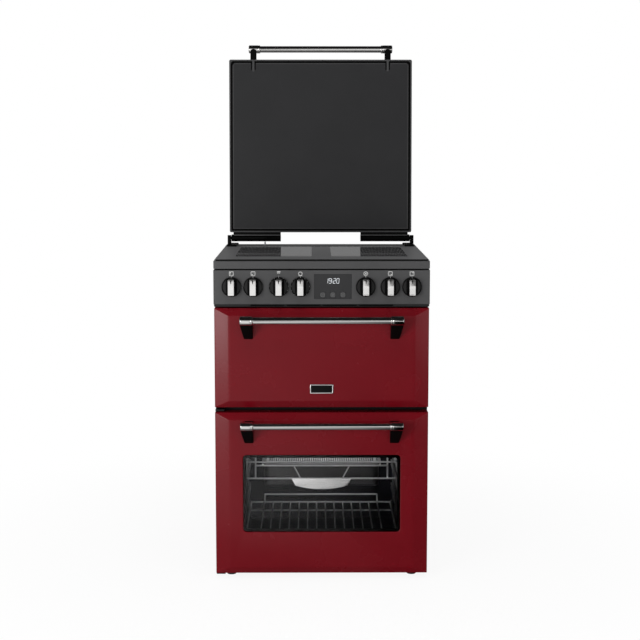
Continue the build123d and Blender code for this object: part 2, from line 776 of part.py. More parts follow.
# Fan motor: on the liner's back, with the bore that carries the fan's shaft
with BuildPart() as fan_motor:
    motor_front = cavity_back + SHEET
    motor_back = motor_front + WOOL
    rod((0, motor_front, fan_z), (0, motor_back, fan_z), MOTOR_NECK)
    rod((0, motor_back, fan_z), (0, motor_back + MOTOR_LENGTH, fan_z), MOTOR_DIAMETER)
    shaft_end = FAN_DEPTH + FAN_SHAFT_LENGTH + FAN_SHAFT_GAP
    rod((0, motor_front, fan_z), (0, shaft_end, fan_z), FAN_SHAFT + 2 * RUN_FIT, Mode.SUBTRACT)
save(fan_motor, "fan_motor")

# Electronics shelf over the top oven
shelf_top_z = top_roof_z + SHEET + WOOL + ELECTRONICS_SHEET
with BuildPart() as electronics_shelf:
    under = shelf_top_z - ELECTRONICS_SHEET
    block(-inner_x, inner_x, inner_front, inner_back, under, under + ELECTRONICS_UPSTAND)
    block(
        ELECTRONICS_SHEET - inner_x,
        inner_x - ELECTRONICS_SHEET,
        inner_front + ELECTRONICS_SHEET,
        inner_back - ELECTRONICS_SHEET,
        shelf_top_z,
        under + ELECTRONICS_UPSTAND,
        Mode.SUBTRACT,
    )
save(electronics_shelf, "electronics_shelf")

# Circuit boards: the power board on the shelf, and the clock's board behind the fascia
with BuildPart() as circuit_boards:
    board_z = shelf_top_z + POWER_BOARD_RISE
    board_x0 = POWER_BOARD_X - POWER_BOARD[0] / 2
    board_x1 = POWER_BOARD_X + POWER_BOARD[0] / 2
    board_d0 = POWER_board_front - POWER_BOARD[1] / 2
    board_d1 = POWER_board_front + POWER_BOARD[1] / 2
    block(board_x0, board_x1, board_d0, board_d1, board_z, board_z + BOARD_THICK)
    for post_x in (board_x0 + BOARD_MARGIN, board_x1 - BOARD_MARGIN):
        for post_d in (board_d0 + BOARD_MARGIN, board_d1 - BOARD_MARGIN):
            rod((post_x, post_d, shelf_top_z), (post_x, post_d, board_z), STANDOFF_DIAMETER)
    sink_z = board_z + BOARD_THICK
    sink_x = board_x0 + SINK_MARGIN
    sink_d = (board_d0 + SINK_MARGIN, board_d1 - SINK_MARGIN)
    block(sink_x, sink_x + SINK_WIDTH, *sink_d, sink_z, sink_z + SINK_BASE)
    for fin in range(SINK_FINS):
        fin_x = sink_x + SINK_FIN_THICK + fin * SINK_FIN_PITCH
        block(fin_x, fin_x + SINK_FIN_THICK, *sink_d, sink_z, sink_z + SINK_HEIGHT)
    can_x = board_x1 - CAPACITOR_MARGIN
    for can in range(CAPACITOR_COUNT):
        can_d = board_d0 + CAPACITOR_MARGIN + can * CAPACITOR_PITCH
        rod((can_x, can_d, board_z), (can_x, can_d, board_z + CAPACITOR_HEIGHT), CAPACITOR_DIAMETER)
    clock_d1 = board_front + BOARD_THICK
    board_low = clock_z - CLOCK_HEIGHT / 2
    board_high = clock_z + CLOCK_HEIGHT / 2
    post_reach = CLOCK_WIDTH / 2 + CLOCK_LAP + FIT + BOARD_POST / 2
    board_half = post_reach + BOARD_POST
    block(CLOCK_X - board_half, CLOCK_X + board_half, board_front, clock_d1, board_low, board_high)
    for post_x in (CLOCK_X - post_reach, CLOCK_X + post_reach):
        for post_z in (board_low + BOARD_POST, board_high - BOARD_POST):
            rod((post_x, SHEET, post_z), (post_x, board_front, post_z), BOARD_POST)
    for count in (-1, 0, 1):
        key_x = CLOCK_X + count * BUTTON_PITCH
        key_z = fascia_z + BUTTON_RISE
        key_front = (key_x, board_front - BOARD_SWITCH, key_z)
        rod(key_front, (key_x, board_front, key_z), STANDOFF_DIAMETER)
save(circuit_boards, "circuit_boards")

# Blower housing on the electronics shelf, with its outlet at the back
with BuildPart() as blower_housing:
    blower_top = shelf_top_z + BLOWER_HEIGHT
    centre = (BLOWER_X, BLOWER_DEPTH)
    rod((*centre, shelf_top_z), (*centre, blower_top), BLOWER_DIAMETER)
    hollow = BLOWER_DIAMETER - 2 * BLOWER_SHEET
    floor_top = shelf_top_z + BLOWER_SHEET
    roof_low = blower_top - BLOWER_SHEET
    rod((*centre, floor_top), (*centre, roof_low), hollow, Mode.SUBTRACT)
    rod((*centre, roof_low), (*centre, blower_top), BLOWER_INTAKE, Mode.SUBTRACT)
    outlet_x = [BLOWER_X + edge for edge in BLOWER_OUTLET]
    outlet_z = (shelf_top_z + BLOWER_OUTLET_LIP, blower_top - BLOWER_OUTLET_LIP)
    block(*outlet_x, BLOWER_DEPTH, BLOWER_DEPTH + BLOWER_DIAMETER, *outlet_z, Mode.SUBTRACT)
    boss_top = floor_top + BLOWER_BOSS_HEIGHT
    rod((*centre, shelf_top_z), (*centre, boss_top), BLOWER_BOSS)
    rod((*centre, floor_top), (*centre, boss_top), FAN_SHAFT + 2 * RUN_FIT, Mode.SUBTRACT)
save(blower_housing, "blower_housing")

# Blower wheel: a disc with a ring of blades, on a short shaft in the housing's boss
with BuildPart() as blower_wheel:
    wheel_z = boss_top + WHEEL_GAP
    rod((*centre, wheel_z), (*centre, wheel_z + WHEEL_SHEET), BLOWER_WHEEL)
    with BuildSketch(level(wheel_z + WHEEL_SHEET / 2)):
        with Locations((BLOWER_X, at(BLOWER_DEPTH))):
            with PolarLocations(BLOWER_WHEEL / 2 - WHEEL_BLADE_INSET, BLOWER_BLADES):
                Rectangle(*WHEEL_BLADE, rotation=WHEEL_BLADE_ANGLE)
    extrude(amount=WHEEL_BLADE_HEIGHT + WHEEL_SHEET / 2)
    rod((*centre, floor_top + SMALL_GAP), (*centre, wheel_z + WHEEL_SHEET / 2), FAN_SHAFT)
save(blower_wheel, "blower_wheel")

# Terminal cover low on the back, with the cable's hole in its underside
with BuildPart() as terminal_cover:
    t0 = TERMINAL_X - TERMINAL_SIZE / 2
    t1 = TERMINAL_X + TERMINAL_SIZE / 2
    cover_top = TERMINAL_RISE + TERMINAL_SIZE
    block(t0, t1, DEPTH, DEPTH + TERMINAL_PROUD, TERMINAL_RISE, cover_top)
    room = TERMINAL_PROUD - TERMINAL_WALL
    block(
        t0 + TERMINAL_WALL,
        t1 - TERMINAL_WALL,
        DEPTH,
        DEPTH + room,
        TERMINAL_RISE + TERMINAL_WALL,
        cover_top - TERMINAL_WALL,
        Mode.SUBTRACT,
    )
    with BuildSketch(level(TERMINAL_RISE)):
        with Locations((TERMINAL_X, at(DEPTH + room / 2))):
            Circle(room / 2 - CABLE_EDGE)
    extrude(amount=TERMINAL_WALL, mode=Mode.SUBTRACT)
save(terminal_cover, "terminal_cover")

# Hob frame: folded rim with a top plate that carries the glass and the rear trim
vent_depth = GLASS_BACK + TRIM_GAP + VENT_SET_BACK
with BuildPart() as hob_frame:
    middle = (0, at(DEPTH / 2))
    with BuildSketch(level(hob_z)):
        with Locations(middle):
            RectangleRounded(WIDTH, DEPTH, HOB_CORNER)
    extrude(amount=HOB_FRAME_HEIGHT)
    with BuildSketch(level(hob_z)):
        with Locations(middle):
            RectangleRounded(WIDTH - 2 * FRAME_SHEET, DEPTH - 2 * FRAME_SHEET, HOB_CORNER - FRAME_SHEET)
    extrude(amount=HOB_FRAME_HEIGHT - FRAME_SHEET, mode=Mode.SUBTRACT)
    plate_z = frame_top_z - FRAME_SHEET
    window_x = COIL_TRAY_WIDTH / 2 - COIL_WINDOW_MARGIN
    window_d0 = COIL_TRAY_FRONT + COIL_WINDOW_MARGIN
    window_d1 = COIL_TRAY_BACK - COIL_WINDOW_MARGIN
    block(-window_x, window_x, window_d0, window_d1, plate_z, frame_top_z, Mode.SUBTRACT)
    vent_half = VENT_PITCH * VENT_COUNT / 2
    vent_d0 = vent_depth - VENT_LENGTH / 2
    vent_d1 = vent_depth + VENT_LENGTH / 2
    block(-vent_half, vent_half, vent_d0, vent_d1, plate_z, frame_top_z, Mode.SUBTRACT)
    pin_top = (CAM_X, HINGE_DEPTH, frame_top_z)
    loose_hole = SWITCH_PIN_DIAMETER + 2 * SWITCH_PIN_CLEAR
    rod((CAM_X, HINGE_DEPTH, plate_z), pin_top, loose_hole, Mode.SUBTRACT)
save(hob_frame, "hob_frame")

# Hob glass
with BuildPart() as hob_glass:
    with BuildSketch(level(frame_top_z)):
        with Locations((0, at((GLASS_SET_IN + GLASS_BACK) / 2))):
            RectangleRounded(WIDTH - 2 * GLASS_SET_IN, GLASS_BACK - GLASS_SET_IN, HOB_CORNER)
    extrude(amount=GLASS_THICK)
    chamfer(hob_glass.faces().sort_by(Axis.Z)[-1].edges(), GLASS_CHAMFER)
save(hob_glass, "hob_glass")

# Rear vent trim with a row of slots and the guide hole of the lid switch pin
with BuildPart() as rear_vent_trim:
    trim_d0 = GLASS_BACK + TRIM_GAP
    trim_d1 = DEPTH - GLASS_SET_IN
    with BuildSketch(level(frame_top_z)):
        with Locations((0, at((trim_d0 + trim_d1) / 2))):
            RectangleRounded(WIDTH - 2 * GLASS_SET_IN, trim_d1 - trim_d0, HOB_CORNER)
        with Locations((0, at(vent_depth))):
            with GridLocations(VENT_PITCH, 0, VENT_COUNT, 1):
                RectangleRounded(VENT_WIDTH, VENT_LENGTH, VENT_CORNER, mode=Mode.SUBTRACT)
        with Locations((CAM_X, at(HINGE_DEPTH))):
            Circle(SWITCH_PIN_DIAMETER / 2 + RUN_FIT, mode=Mode.SUBTRACT)
    extrude(amount=TRIM_THICK)
save(rear_vent_trim, "rear_vent_trim")

# Coil tray hung under the hob frame's top plate
with BuildPart() as coil_tray:
    tray_x = COIL_TRAY_WIDTH / 2
    tray_z = plate_z - COIL_TRAY_DEPTH
    block(-tray_x, tray_x, COIL_TRAY_FRONT, COIL_TRAY_BACK, tray_z, plate_z)
    block(
        SHEET - tray_x,
        tray_x - SHEET,
        COIL_TRAY_FRONT + SHEET,
        COIL_TRAY_BACK - SHEET,
        tray_z + SHEET,
        plate_z,
        Mode.SUBTRACT,
    )
save(coil_tray, "coil_tray")

# Four induction coils in the tray, two under each zone
with BuildPart() as induction_coils:
    with BuildSketch(level(tray_z + SHEET)):
        with Locations((0, at(ZONE_DEPTH))):
            with GridLocations(2 * ZONE_X, COIL_PITCH, 2, 2):
                Circle(COIL_DIAMETER / 2)
                Circle(COIL_HOLE / 2, mode=Mode.SUBTRACT)
    extrude(amount=COIL_THICK)
save(induction_coils, "induction_coils")

# Fascia: a folded box open at the back, with a slotted vent lip under it
with BuildPart() as fascia:
    block(-half, half, 0, FRAME_SET, fascia_z, fascia_top_z)
    fillet(fascia.faces().sort_by(Axis.Y)[0].edges(), SHEET)
    inside = (SHEET - half, half - SHEET, SHEET, FRAME_SET, fascia_z + SHEET, fascia_top_z - SHEET)
    block(*inside, Mode.SUBTRACT)
    lip_z = fascia_z - VENT_LIP_DROP
    block(-panel_x, panel_x, VENT_LIP_DEPTH, VENT_LIP_DEPTH + SHEET, lip_z, fascia_z + SHEET)
    with BuildSketch(facing(VENT_LIP_DEPTH)):
        with Locations((0, fascia_z - VENT_LIP_DROP / 2)):
            with GridLocations(VENT_SLOT_PITCH, 0, 4, 1):
                RectangleRounded(VENT_SLOT_WIDTH, VENT_SLOT_HEIGHT, VENT_SLOT_CORNER)
    extrude(amount=-SHEET, mode=Mode.SUBTRACT)
    with BuildSketch(facing(0)):
        for knob_x in KNOB_XS:
            with Locations((knob_x, knob_z)):
                Circle(SPINDLE_HOLE / 2)
        with Locations((CLOCK_X, clock_z)):
            Rectangle(CLOCK_WIDTH + 2 * FIT, CLOCK_HEIGHT + 2 * FIT)
    extrude(amount=-SHEET, mode=Mode.SUBTRACT)
save(fascia, "fascia")

# Black discs behind the knobs, dished a little
with BuildPart() as knob_discs:
    for knob_x in KNOB_XS:
        with BuildSketch(facing(0)):
            with Locations((knob_x, knob_z)):
                Circle(DISC_DIAMETER / 2)
        extrude(amount=DISC_THICK)
    fillet(knob_discs.faces().group_by(Axis.Y)[0].edges(), DISC_ROUND)
    for knob_x in KNOB_XS:
        rod((knob_x, -DISC_THICK, knob_z), (knob_x, 0, knob_z), SPINDLE_HOLE, Mode.SUBTRACT)
        dish = DISC_DIAMETER - 2 * DISC_RIM
        bottom = (knob_x, DISC_DISH - DISC_THICK, knob_z)
        rod((knob_x, -DISC_THICK, knob_z), bottom, dish, Mode.SUBTRACT)
save(knob_discs, "knob_discs")

# Rotary switches behind the fascia, each with the bore that carries a spindle
with BuildPart() as rotary_switches:
    for knob_x in KNOB_XS:
        neck_end = SHEET + SWITCH_NECK_LENGTH
        rod((knob_x, SHEET, knob_z), (knob_x, neck_end, knob_z), SWITCH_NECK)
        rod((knob_x, neck_end, knob_z), (knob_x, neck_end + SWITCH_LENGTH, knob_z), SWITCH_DIAMETER)
        bore = SPINDLE_DIAMETER + 2 * RUN_FIT
        bore_end = SPINDLE_REACH + SPINDLE_END_GAP
        rod((knob_x, SHEET, knob_z), (knob_x, bore_end, knob_z), bore, Mode.SUBTRACT)
save(rotary_switches, "rotary_switches")


def knob(knob_x):
    """Bar grip with a pointer groove at its top end, on a spindle that reaches into its switch."""
    with BuildPart() as grip:
        base = -DISC_THICK - SMALL_GAP
        with BuildSketch(facing(base)):
            with Locations((knob_x, knob_z)):
                RectangleRounded(GRIP_WIDTH, GRIP_HEIGHT, GRIP_CORNER)
        extrude(amount=GRIP_PROUD)
        fillet(grip.faces().sort_by(Axis.Y)[0].edges(), GRIP_EDGE)
        front = base - GRIP_PROUD
        groove_top = knob_z + GRIP_HEIGHT / 2 - GRIP_EDGE
        groove_x = POINTER_WIDTH / 2
        groove = (knob_x - groove_x, knob_x + groove_x, front, front + POINTER_DEPTH)
        block(*groove, groove_top - POINTER_LENGTH, groove_top, Mode.SUBTRACT)
        root = (knob_x, base - SPINDLE_ROOT, knob_z)
        rod(root, (knob_x, SPINDLE_REACH, knob_z), SPINDLE_DIAMETER)
    return grip


for number, knob_x in enumerate(KNOB_XS, 1):
    save(knob(knob_x), f"knob_{number}")

# Display window in the fascia, with holes for the three push buttons
with BuildPart() as display_window:
    with BuildSketch(facing(-CLOCK_PROUD)):
        with Locations((CLOCK_X, clock_z)):
            Rectangle(CLOCK_WIDTH, CLOCK_HEIGHT)
    extrude(amount=-(CLOCK_PROUD + SHEET))
    with BuildSketch(facing(SHEET)):
        with Locations((CLOCK_X, clock_z)):
            Rectangle(CLOCK_WIDTH + 2 * CLOCK_LAP, CLOCK_HEIGHT + 2 * CLOCK_LAP)
    extrude(amount=-SHEET)
    with BuildSketch(facing(-CLOCK_PROUD)):
        with Locations((CLOCK_X, fascia_z + BUTTON_RISE)):
            with GridLocations(BUTTON_PITCH, 0, 3, 1):
                hole = BUTTON_SIZE + 2 * FIT
                RectangleRounded(hole, hole, BUTTON_CORNER + FIT)
    extrude(amount=-(CLOCK_PROUD + 2 * SHEET), mode=Mode.SUBTRACT)
save(display_window, "display_window")


def clock_button(button_x):
    """Square push button with a stem that meets its switch on the clock's board."""
    with BuildPart() as button:
        with BuildSketch(facing(-BUTTON_PROUD)):
            with Locations((button_x, fascia_z + BUTTON_RISE)):
                RectangleRounded(BUTTON_SIZE, BUTTON_SIZE, BUTTON_CORNER)
        extrude(amount=-BUTTON_LENGTH)
        fillet(button.faces().sort_by(Axis.Y)[0].edges(), BUTTON_ROUND)
        button_z = fascia_z + BUTTON_RISE
        rod((button_x, stem_start, button_z), (button_x, stem_end, button_z), BUTTON_STEM)
    return button


for number, count in enumerate((-1, 0, 1), 1):
    save(clock_button(CLOCK_X + count * BUTTON_PITCH), f"clock_button_{number}")

# Hinge plates and pins of both doors
drop_pin_z = top_door_z + DROP_PIN_RISE
arm_outer = door_x - DROP_ARM_SET_IN + DROP_ARM_WIDTH
arm_inner = door_x - DROP_ARM_SET_IN
with BuildPart() as door_hinge_plates:
    for side in (-1, 1):
        with BuildSketch(sideways(side * arm_inner)):
            with Locations((at(DROP_PIN_DEPTH), drop_pin_z)):
                Circle(DROP_ARM_RADIUS)
            with Locations((at((DROP_PIN_DEPTH + FRAME_SET) / 2), drop_pin_z)):
                Rectangle(FRAME_SET - DROP_PIN_DEPTH, 2 * DROP_ARM_RADIUS)
        extrude(amount=side * DROP_ARM_WIDTH)
        pin_start = (side * arm_inner, DROP_PIN_DEPTH, drop_pin_z)
        pin_end = (side * (arm_inner - DROP_BOSS_WIDTH), DROP_PIN_DEPTH, drop_pin_z)
        rod(pin_start, pin_end, DROP_PIN_DIAMETER)
    plate_x0 = SIDE_PLATE_SET_IN - door_x
    plate_x1 = plate_x0 + SIDE_PLATE_WIDTH
    lower_top = door_z - SMALL_GAP
    lower_low = lower_top - SIDE_PLATE_THICK
    leg_back = frame_back + SIDE_LEG_THICK
    block(plate_x0, plate_x1, SIDE_PLATE_FRONT, leg_back, lower_low, lower_top)
    leg_x0 = plate_x1 - SIDE_LEG_WIDTH
    block(leg_x0, plate_x1, frame_back, leg_back, lower_low, lower_low + SIDE_LEG_HEIGHT)
    lower_pin = (side_pin_x, SIDE_PIN_DEPTH, lower_low)
    rod(lower_pin, (side_pin_x, SIDE_PIN_DEPTH, door_z + SIDE_PIN_LENGTH), SIDE_PIN_DIAMETER)
    upper_low = main_top_z + SIDE_UPPER_GAP
    upper_top = upper_low + SIDE_PLATE_THICK
    block(plate_x0, plate_x1, SIDE_PLATE_FRONT, FRAME_SET, upper_low, upper_top)
    upper_pin = (side_pin_x, SIDE_PIN_DEPTH, main_top_z - SIDE_PIN_LENGTH)
    rod(upper_pin, (side_pin_x, SIDE_PIN_DEPTH, upper_top), SIDE_PIN_DIAMETER)
save(door_hinge_plates, "door_hinge_plates")


def door_body(low_z, height, inset):
    """Solid door outline, its middle forward of bevelled borders: two tapered prisms crossed."""
    wide = DOOR_WIDTH / 2 - inset
    raised_x = DOOR_WIDTH / 2 - SIDE_BEVEL
    low = low_z + inset
    high = low_z + height - inset
    back_y = at(DOOR_THICK)
    edge_y = at(inset)
    front_y = at(raised_face + inset)
    with BuildPart() as body:
        with BuildSketch(level(low)):
            with BuildLine():
                Polyline(
                    (-wide, back_y),
                    (-wide, edge_y),
                    (-raised_x, front_y),
                    (raised_x, front_y),
                    (wide, edge_y),
                    (wide, back_y),
                    close=True,
                )
            make_face()
        extrude(amount=high - low)
        with BuildSketch(sideways(-wide)):
            with BuildLine():
                Polyline(
                    (back_y, low),
                    (edge_y, low),
                    (front_y, low_z + EDGE_BEVEL),
                    (front_y, low_z + height - EDGE_BEVEL),
                    (edge_y, high),
                    (back_y, high),
                    close=True,
                )
            make_face()
        extrude(amount=2 * wide, mode=Mode.INTERSECT)
    return body


def door_panel(low_z, height):
    """Folded door skin of even thickness, open at the back."""
    outside = door_body(low_z, height, 0)
    inside = door_body(low_z, height, DOOR_SHEET)
    with BuildPart() as skin:
        add(outside.part)
        fillet(skin.faces().sort_by(Axis.Y)[0].edges(), RIDGE_RADIUS)
        add(inside.part, mode=Mode.SUBTRACT)
    return skin


def arm_notches(low_z):
    """Cut the lower corners of a drop-down door's piece, where the hinge arms pass as it swings."""
    gap = DROP_NOTCH_GAP
    top = low_z + DROP_PIN_RISE + DROP_ARM_RADIUS + gap
    front = DROP_PIN_DEPTH - DROP_ARM_RADIUS - gap
    for side in (-1, 1):
        x0, x1 = sorted((side * (arm_inner - gap), side * (arm_outer + gap)))
        block(x0, x1, front, DOOR_THICK + 1, low_z - 1, top, Mode.SUBTRACT)


# Top door
top_door_panel = door_panel(top_door_z, TOP_DOOR_HEIGHT)
with BuildPart() as top_door_skin:
    add(top_door_panel.part)
    arm_notches(top_door_z)
save(top_door_skin, "top_door_panel")

inside_x = door_x - DOOR_SHEET - FIT
with BuildPart() as top_door_inner:
    plate_low = top_door_z + DOOR_SHEET + FIT
    plate_high = top_top_z - DOOR_SHEET - FIT
    block(-inside_x, inside_x, plate_front, DOOR_THICK, plate_low, plate_high)
    arm_notches(top_door_z)
    for side in (-1, 1):
        boss_outer = arm_inner - DROP_BOSS_GAP
        x0, x1 = sorted((side * boss_outer, side * (boss_outer - DROP_BOSS_WIDTH)))
        boss_front = DROP_PIN_DEPTH - DROP_BOSS_FRONT
        block(x0, x1, boss_front, DOOR_THICK, plate_low, drop_pin_z + DROP_BOSS_TOP)
        drop_bore = DROP_PIN_DIAMETER + 2 * RUN_FIT
        bore_start = (x0, DROP_PIN_DEPTH, drop_pin_z)
        rod(bore_start, (x1, DROP_PIN_DEPTH, drop_pin_z), drop_bore, Mode.SUBTRACT)
save(top_door_inner, "top_door_inner")


def handle_bar(plane):
    """Round bar along the plane's x with a thicker ferrule at each end, all turned about that x."""
    with BuildPart() as bar:
        end = HANDLE_LENGTH / 2
        with BuildSketch(plane):
            with BuildLine():
                Polyline(
                    (0, 0),
                    (0, BAR_DIAMETER / 2),
                    (end - FERRULE_LENGTH, BAR_DIAMETER / 2),
                    (end - FERRULE_LENGTH + FERRULE_TAPER, FERRULE_DIAMETER / 2),
                    (end - FERRULE_CHAMFER, FERRULE_DIAMETER / 2),
                    (end, FERRULE_DIAMETER / 2 - FERRULE_CHAMFER),
                    (end, 0),
                    close=True,
                )
            make_face()
        revolve(axis=Axis(plane.origin, plane.x_dir))
        mirror(about=Plane.YZ)
    return bar


def handle_brackets(bar_z):
    """Two black wedges from the door's face up to the ferrules, slanted on their outer sides."""
    with BuildPart() as brackets:
        inner_edge = HANDLE_LENGTH / 2 - FERRULE_LENGTH + BRACKET_INSET
        for side in (-1, 1):
            foot_mid = side * (inner_edge + BRACKET_FOOT_WIDTH / 2)
            top_mid = side * (inner_edge + BRACKET_TOP_WIDTH / 2)
            foot_low = bar_z - BRACKET_FOOT_DROP
            front_low = bar_z - BRACKET_FRONT_DROP
            high = bar_z + BRACKET_RISE
            with BuildSketch(facing(raised_face)):
                with Locations((foot_mid, (foot_low + high) / 2)):
                    RectangleRounded(BRACKET_FOOT_WIDTH, high - foot_low, BRACKET_CORNER)
            with BuildSketch(facing(bar_depth)):
                with Locations((top_mid, (front_low + bar_z) / 2)):
                    RectangleRounded(BRACKET_TOP_WIDTH, bar_z - front_low, BRACKET_CORNER)
            loft()
        hold = FERRULE_DIAMETER + 2 * RUN_FIT
        far = inner_edge + BRACKET_TOP_WIDTH + 1
        rod((-far, bar_depth, bar_z), (far, bar_depth, bar_z), hold, Mode.SUBTRACT)
    return brackets


top_bar = handle_bar(Plane(origin=(0, at(bar_depth), top_bar_z), z_dir=(0, 0, 1)))
save(top_bar, "top_door_bar")
save(handle_brackets(top_bar_z), "top_door_brackets")

# Badge frame on the top door, left blank
with BuildPart() as top_door_badge:
    badge_z = top_door_z + BADGE_RISE
    with BuildSketch(facing(raised_face)):
        with Locations((0, badge_z)):
            RectangleRounded(BADGE_WIDTH, BADGE_HEIGHT, BADGE_CORNER)
    extrude(amount=BADGE_THICK)
    fillet(top_door_badge.faces().sort_by(Axis.Y)[0].edges(), BADGE_ROUND)
    badge_front = raised_face - BADGE_THICK
    well_x = BADGE_WIDTH / 2 - BADGE_BORDER
    well_z = BADGE_HEIGHT / 2 - BADGE_BORDER
    well_back = badge_front + BADGE_RECESS
    block(-well_x, well_x, badge_front, well_back, badge_z - well_z, badge_z + well_z, Mode.SUBTRACT)
save(top_door_badge, "top_door_badge")

# Main door: skin with its window and the hinge pins' holes
window_z = door_z + WINDOW_RISE + WINDOW_HEIGHT / 2
inner_window_z = door_z + INNER_WINDOW_RISE + INNER_WINDOW_HEIGHT / 2
main_door_plain = door_panel(door_z, MAIN_DOOR_HEIGHT)
with BuildPart() as main_door_panel:
    add(main_door_plain.part)
    with BuildSketch(facing(raised_face - 1)):
        with Locations((0, window_z)):
            RectangleRounded(WINDOW_WIDTH, WINDOW_HEIGHT, WINDOW_CORNER)
    extrude(amount=-(DOOR_SHEET + 2), mode=Mode.SUBTRACT)
    for edge_z in (door_z, main_top_z - DOOR_SHEET):
        low_end = (side_pin_x, SIDE_PIN_DEPTH, edge_z)
        high_end = (side_pin_x, SIDE_PIN_DEPTH, edge_z + DOOR_SHEET)
        rod(low_end, high_end, SIDE_PIN_HOLE, Mode.SUBTRACT)
save(main_door_panel, "main_door_panel")

# Main door's two panes, one behind the skin and one behind the inner plate
with BuildPart() as main_door_glass:
    with BuildSketch(facing(skin_back)):
        with Locations((0, window_z)):
            grown = 2 * PANE_LAP
            RectangleRounded(WINDOW_WIDTH + grown, WINDOW_HEIGHT + grown, WINDOW_CORNER)
    extrude(amount=-PANE_THICK)
    with BuildSketch(facing(plate_front)):
        with Locations((0, inner_window_z)):
            grown = 2 * INNER_PANE_LAP
            RectangleRounded(INNER_WINDOW_WIDTH + grown, INNER_WINDOW_HEIGHT + grown, WINDOW_CORNER)
    extrude(amount=PANE_THICK)
save(main_door_glass, "main_door_glass")

# Main door's inner plate with its window and the two hinge bosses
with BuildPart() as main_door_inner:
    plate_low = door_z + DOOR_SHEET + FIT
    plate_high = main_top_z - DOOR_SHEET - FIT
    block(-inside_x, inside_x, plate_front, DOOR_THICK, plate_low, plate_high)
    with BuildSketch(facing(DOOR_THICK)):
        with Locations((0, inner_window_z)):
            RectangleRounded(INNER_WINDOW_WIDTH, INNER_WINDOW_HEIGHT, WINDOW_CORNER)
    extrude(amount=SHEET, mode=Mode.SUBTRACT)
    boss_height = SIDE_PIN_LENGTH + 2 * SIDE_PIN_END_GAP
    for boss_low in (plate_low, plate_high - boss_height):
        boss_x0 = side_pin_x - SIDE_BOSS_HALF
        boss_x1 = side_pin_x + SIDE_BOSS_HALF
        boss = (boss_x0, boss_x1, SIDE_BOSS_FRONT, DOOR_THICK, boss_low, boss_low + boss_height)
        block(*boss)
    for pin_low, pin_high in (
        (plate_low, door_z + SIDE_PIN_LENGTH + SIDE_PIN_END_GAP),
        (main_top_z - SIDE_PIN_LENGTH - SIDE_PIN_END_GAP, plate_high),
    ):
        bore = SIDE_PIN_DIAMETER + 2 * RUN_FIT
        low_end = (side_pin_x, SIDE_PIN_DEPTH, pin_low)
        rod(low_end, (side_pin_x, SIDE_PIN_DEPTH, pin_high), bore, Mode.SUBTRACT)
save(main_door_inner, "main_door_inner")

main_bar = handle_bar(Plane(origin=(0, at(bar_depth), main_bar_z), z_dir=(0, 0, 1)))
save(main_bar, "main_door_bar")
save(handle_brackets(main_bar_z), "main_door_brackets")

# Rack on the main door's inner side: two long wires, two arms, the tin's loop and a polished plate
with BuildPart() as door_rack:
    upper_z = door_z + RACK_UPPER_RISE
    lower_z = door_z + RACK_LOWER_RISE
    arm_z = door_z + RACK_ARM_RISE
    rim_z = door_z + TIN_RISE + TIN_DEPTH
    loop_z = rim_z - TIN_SHEET - WIRE / 2 - FIT
    loop_x = TIN_WIDTH / 2 + WIRE / 2 + LOOP_CLEAR
    loop_back = TIN_FRONT + TIN_LENGTH + WIRE / 2 + LOOP_CLEAR
    for wire_z in (upper_z, lower_z):
        rod((-RACK_HALF, RACK_DEPTH, wire_z), (RACK_HALF, RACK_DEPTH, wire_z), WIRE)
    rod((-RACK_ARM_X, RACK_DEPTH, loop_z), (RACK_ARM_X, RACK_DEPTH, loop_z), WIRE)
    rod((-loop_x, loop_back, loop_z), (loop_x, loop_back, loop_z), WIRE)
    for side in (-1, 1):
        arm_x = side * RACK_ARM_X
        rod((arm_x, RACK_DEPTH, lower_z), (arm_x, RACK_DEPTH, arm_z + WIRE / 2), RACK_ARM_WIRE)
        rod((arm_x, DOOR_THICK, arm_z), (arm_x, RACK_DEPTH, arm_z), BAR_WIRE)
        loop_start = (side * loop_x, RACK_DEPTH, loop_z)
        rod(loop_start, (side * loop_x, loop_back + WIRE / 2, loop_z), RACK_ARM_WIRE)
        brace_top = (side * RACK_BRACE_TOP, RACK_DEPTH, loop_z)
        rod(brace_top, (side * RACK_BRACE_FOOT, RACK_DEPTH, lower_z), BAR_WIRE)
    with BuildSketch(facing(RACK_DEPTH - WIRE / 2)):
        with BuildLine():
            left = (-RACK_PLATE_FOOT_HALF, lower_z - RACK_PLATE_SIDE_DROP)
            right = (RACK_PLATE_FOOT_HALF, lower_z - RACK_PLATE_SIDE_DROP)
            Polyline(left, (-RACK_PLATE_TOP_HALF, lower_z), (RACK_PLATE_TOP_HALF, lower_z), right)
            ThreePointArc(right, (0, lower_z - RACK_PLATE_DROP), left)
        make_face()
    extrude(amount=-RACK_PLATE_THICK)
save(door_rack, "door_rack")

# Roasting tin: a rounded open box with a rim that hangs on the rack's loop
tin_z = door_z + TIN_RISE
tin_mid = (0, at(TIN_FRONT + TIN_LENGTH / 2))
with BuildPart() as tin_hollow:
    with BuildSketch(level(tin_z + TIN_SHEET)):
        with Locations(tin_mid):
            wall = 2 * TIN_SHEET
            RectangleRounded(TIN_WIDTH - wall, TIN_LENGTH - wall, TIN_CORNER - TIN_SHEET)
    extrude(amount=TIN_DEPTH)
    fillet(tin_hollow.faces().sort_by(Axis.Z)[0].edges(), TIN_FOOT_ROUND - TIN_SHEET)

